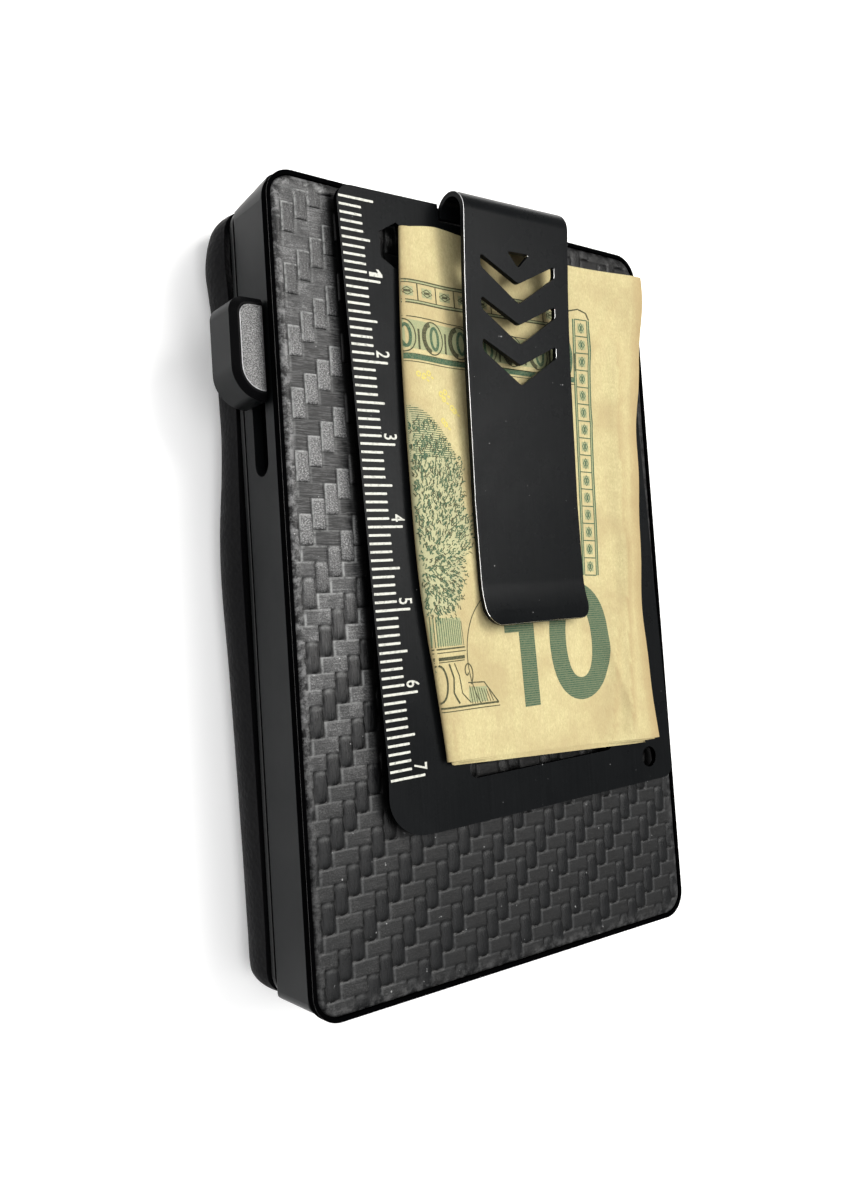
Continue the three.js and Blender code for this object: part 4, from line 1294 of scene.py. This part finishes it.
def banknote_print():
    numeral_ten()
    green, dark, pale, yellow = Print(lift=0.02), Print(lift=0.02), Print(), Print()
    ladder(dark, pale, (-15.0, 36.6), (13.2, 36.4), 2.9, 9)
    ladder(green, pale, (16.9, 36.2), (14.4, 0.2), 2.7, 15)
    dark.ribbon([(14.0, 37.2), (16.6, 37.7), (17.9, 37.2), (18.3, 36.2)], 0.2)
    green.ribbon(oval((10.6, 31.0), (3.9, 4.6), -75, 75, 22), 0.9)
    sign_band(green, dark, pale)
    specks(yellow)
    foliage(green, dark, random.Random(11))
    pedestal(green, dark, pale)
    green.piece("banknote_print_green", green_ink)
    dark.piece("banknote_print_dark", dark_ink)
    pale.piece("banknote_print_pale", pale_ink)
    yellow.piece("banknote_print_yellow", yellow_ink)


banknote_sheet()
banknote_print()


# ---------------- rear pocket
POCKET_TOP = box_mm("pocket_shell")[1].z - 0.05
POCKET_HALF_X, POCKET_HALF_Y = 31.35, 48.3
# Along y: how far the outer face is lifted, and how far the sides are drawn in, where a
# number below 0 lets them bulge.
POCKET_RISE = [(-48.3, 2.2), (-46.8, 1.3), (-44.6, 0.7), (-42, 0.35), (-31, 0.1), (-13, 0.0), (8.7, 0.0),
               (16, 0.5), (25, 0.1), (38, 0.3), (42, 0.7), (44, 1.1), (48.3, 1.9)]
POCKET_WAIST = [(-48.3, -0.9), (-46, -1.2), (-41, -1.1), (-30, -1.2), (-10, -1.6), (4, -2.0), (16, -1.3),
                (21, -1.0), (26, -1.0), (34, -1.2), (38, -1.7), (41.5, -2.1), (44, -1.9), (46, -1.4),
                (48.3, -0.9)]
LEATHER = 1.25
NOTCH_MIDDLE_Y = 50.2
NOTCH_RADIUS = 9
HEM_Y = 30  # the grid's rows above this are squeezed or stretched to end at the mouth
SEAM_INSET = 3.6  # from the pocket's side to the channel that holds the stitches
SEAM_DEPTH = 0.42
NOTCH_SEAM = 2.6  # from the thumb notch to the stitches round it
NOTCH_STITCHES = np.radians(np.linspace(198, 342, 10))


def pocket_floor(x, y, inside):
    """Height of the pocket's outer face: flat where it lies, round at its sides."""
    rise = np.maximum(smooth_curve(POCKET_RISE, y), 0) * smoothstep(8, 30, np.abs(x))
    radius = 2.3
    t = np.clip(1 - inside / radius, 0, 1)
    wall = (POCKET_TOP - rise - 0.4) * (1 - np.sqrt(np.clip(1 - t ** 2.2, 0, 1)))
    dent = SEAM_DEPTH * np.exp(-((inside - SEAM_INSET) / 0.6) ** 2)
    wrinkle = 0.10 * np.sin(0.31 * y + 0.22 * x) * np.sin(0.17 * y - 0.33 * x + 1)
    return rise + wall + dent + np.maximum(wrinkle * smoothstep(4, 9, inside), 0)


def rear_pocket():
    half_x, half_y, corner = POCKET_HALF_X, POCKET_HALF_Y, 3
    xs = eased(150, -half_x, half_x, 0.92)
    ys = eased(190, -half_y, half_y, 0.8)
    x, y, inside = rounded_plan(xs, ys, half_x, half_y, corner)
    reach = np.abs(x).max(axis=1, keepdims=True)
    inside = np.where(y > 0, reach - np.abs(x), inside)  # the mouth's edge has no wall
    z = pocket_floor(x, y, inside)
    side = smoothstep(half_x - 7, half_x, np.abs(x))
    share = np.clip((z - 1) / (POCKET_TOP - 1), 0, 1)
    side = side * (1 - 0.8 * share ** 3) * np.where(x < 0, 1.0, 0.4)
    x = x - np.sign(x) * side * smooth_curve(POCKET_WAIST, y)
    mouth = np.where(np.abs(x) < NOTCH_RADIUS,
                     NOTCH_MIDDLE_Y - np.sqrt(np.maximum(NOTCH_RADIUS ** 2 - x ** 2, 0)), half_y)
    mouth = np.minimum(mouth, half_y)
    y = np.where(y > HEM_Y, HEM_Y + (y - HEM_Y) * (mouth - HEM_Y) / (half_y - HEM_Y), y)
    points = np.stack([x, y, z], axis=-1).reshape(-1, 3)
    faces = [f[::-1] for f in grid_faces(*x.shape)]
    piece = placed("rear_pocket_leather", new_mesh("rear_pocket_leather", points, faces))
    thick_sheet(piece, soft_leather, LEATHER, -1, 60)
    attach(piece, "case")
    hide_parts("pocket_shell")


def stitch_line():
    """Stitches in the channel near the pocket's edge, and round the thumb notch."""
    pitch, length, end_y = 3.1, 2.3, 47.0
    half_x, half_y = POCKET_HALF_X - SEAM_INSET, POCKET_HALF_Y - SEAM_INSET
    path = [(-half_x, end_y), (-half_x, -half_y), (half_x, -half_y), (half_x, end_y)]
    stitches = Solids()
    for start, end in zip(path, path[1:]):
        start, end = Vector(start), Vector(end)
        count = int((end - start).length / pitch)
        for i in range(count):
            middle = start.lerp(end, (i + 0.5) / count)
            add_stitch(stitches, middle, (end - start).normalized(), length)
    notch_radius = NOTCH_RADIUS + NOTCH_SEAM
    for angle in NOTCH_STITCHES:
        middle = Vector((notch_radius * math.cos(angle), NOTCH_MIDDLE_Y + notch_radius * math.sin(angle)))
        add_stitch(stitches, middle, Vector((-math.sin(angle), math.cos(angle))), length)
    add_piece("pocket_stitching", stitches.mesh("pocket_stitching", STRAIGHT), thread, "case")


def add_stitch(stitches, middle, along, length):
    """One stitch: a thread that dives into the leather at both ends."""
    radius, sides, steps = 0.2, 6, 7
    side = Vector((-along.y, along.x))
    ground = float(pocket_floor(middle.x, middle.y, SEAM_INSET))
    points = []
    for i in range(steps):
        share = i / (steps - 1)
        arch = math.sin(math.pi * share)
        centre_point = middle + along * length * (share - 0.5)
        z = ground - 0.04 * arch + 0.26 * (1 - arch)
        for k in range(sides):
            angle = 2 * math.pi * k / sides
            width = radius * (0.45 + 0.55 * arch)
            spot = centre_point + side * width * math.cos(angle)
            points.append((spot.x, spot.y, z + width * math.sin(angle)))
    pairs = [(i * sides + k, i * sides + (k + 1) % sides) for i in range(steps - 1) for k in range(sides)]
    walls = [(a, b, b + sides, a + sides) for a, b in pairs]
    ends = [tuple(range(sides))[::-1], tuple(range((steps - 1) * sides, steps * sides))]
    stitches.add(points, walls + ends)


rear_pocket()
stitch_line()
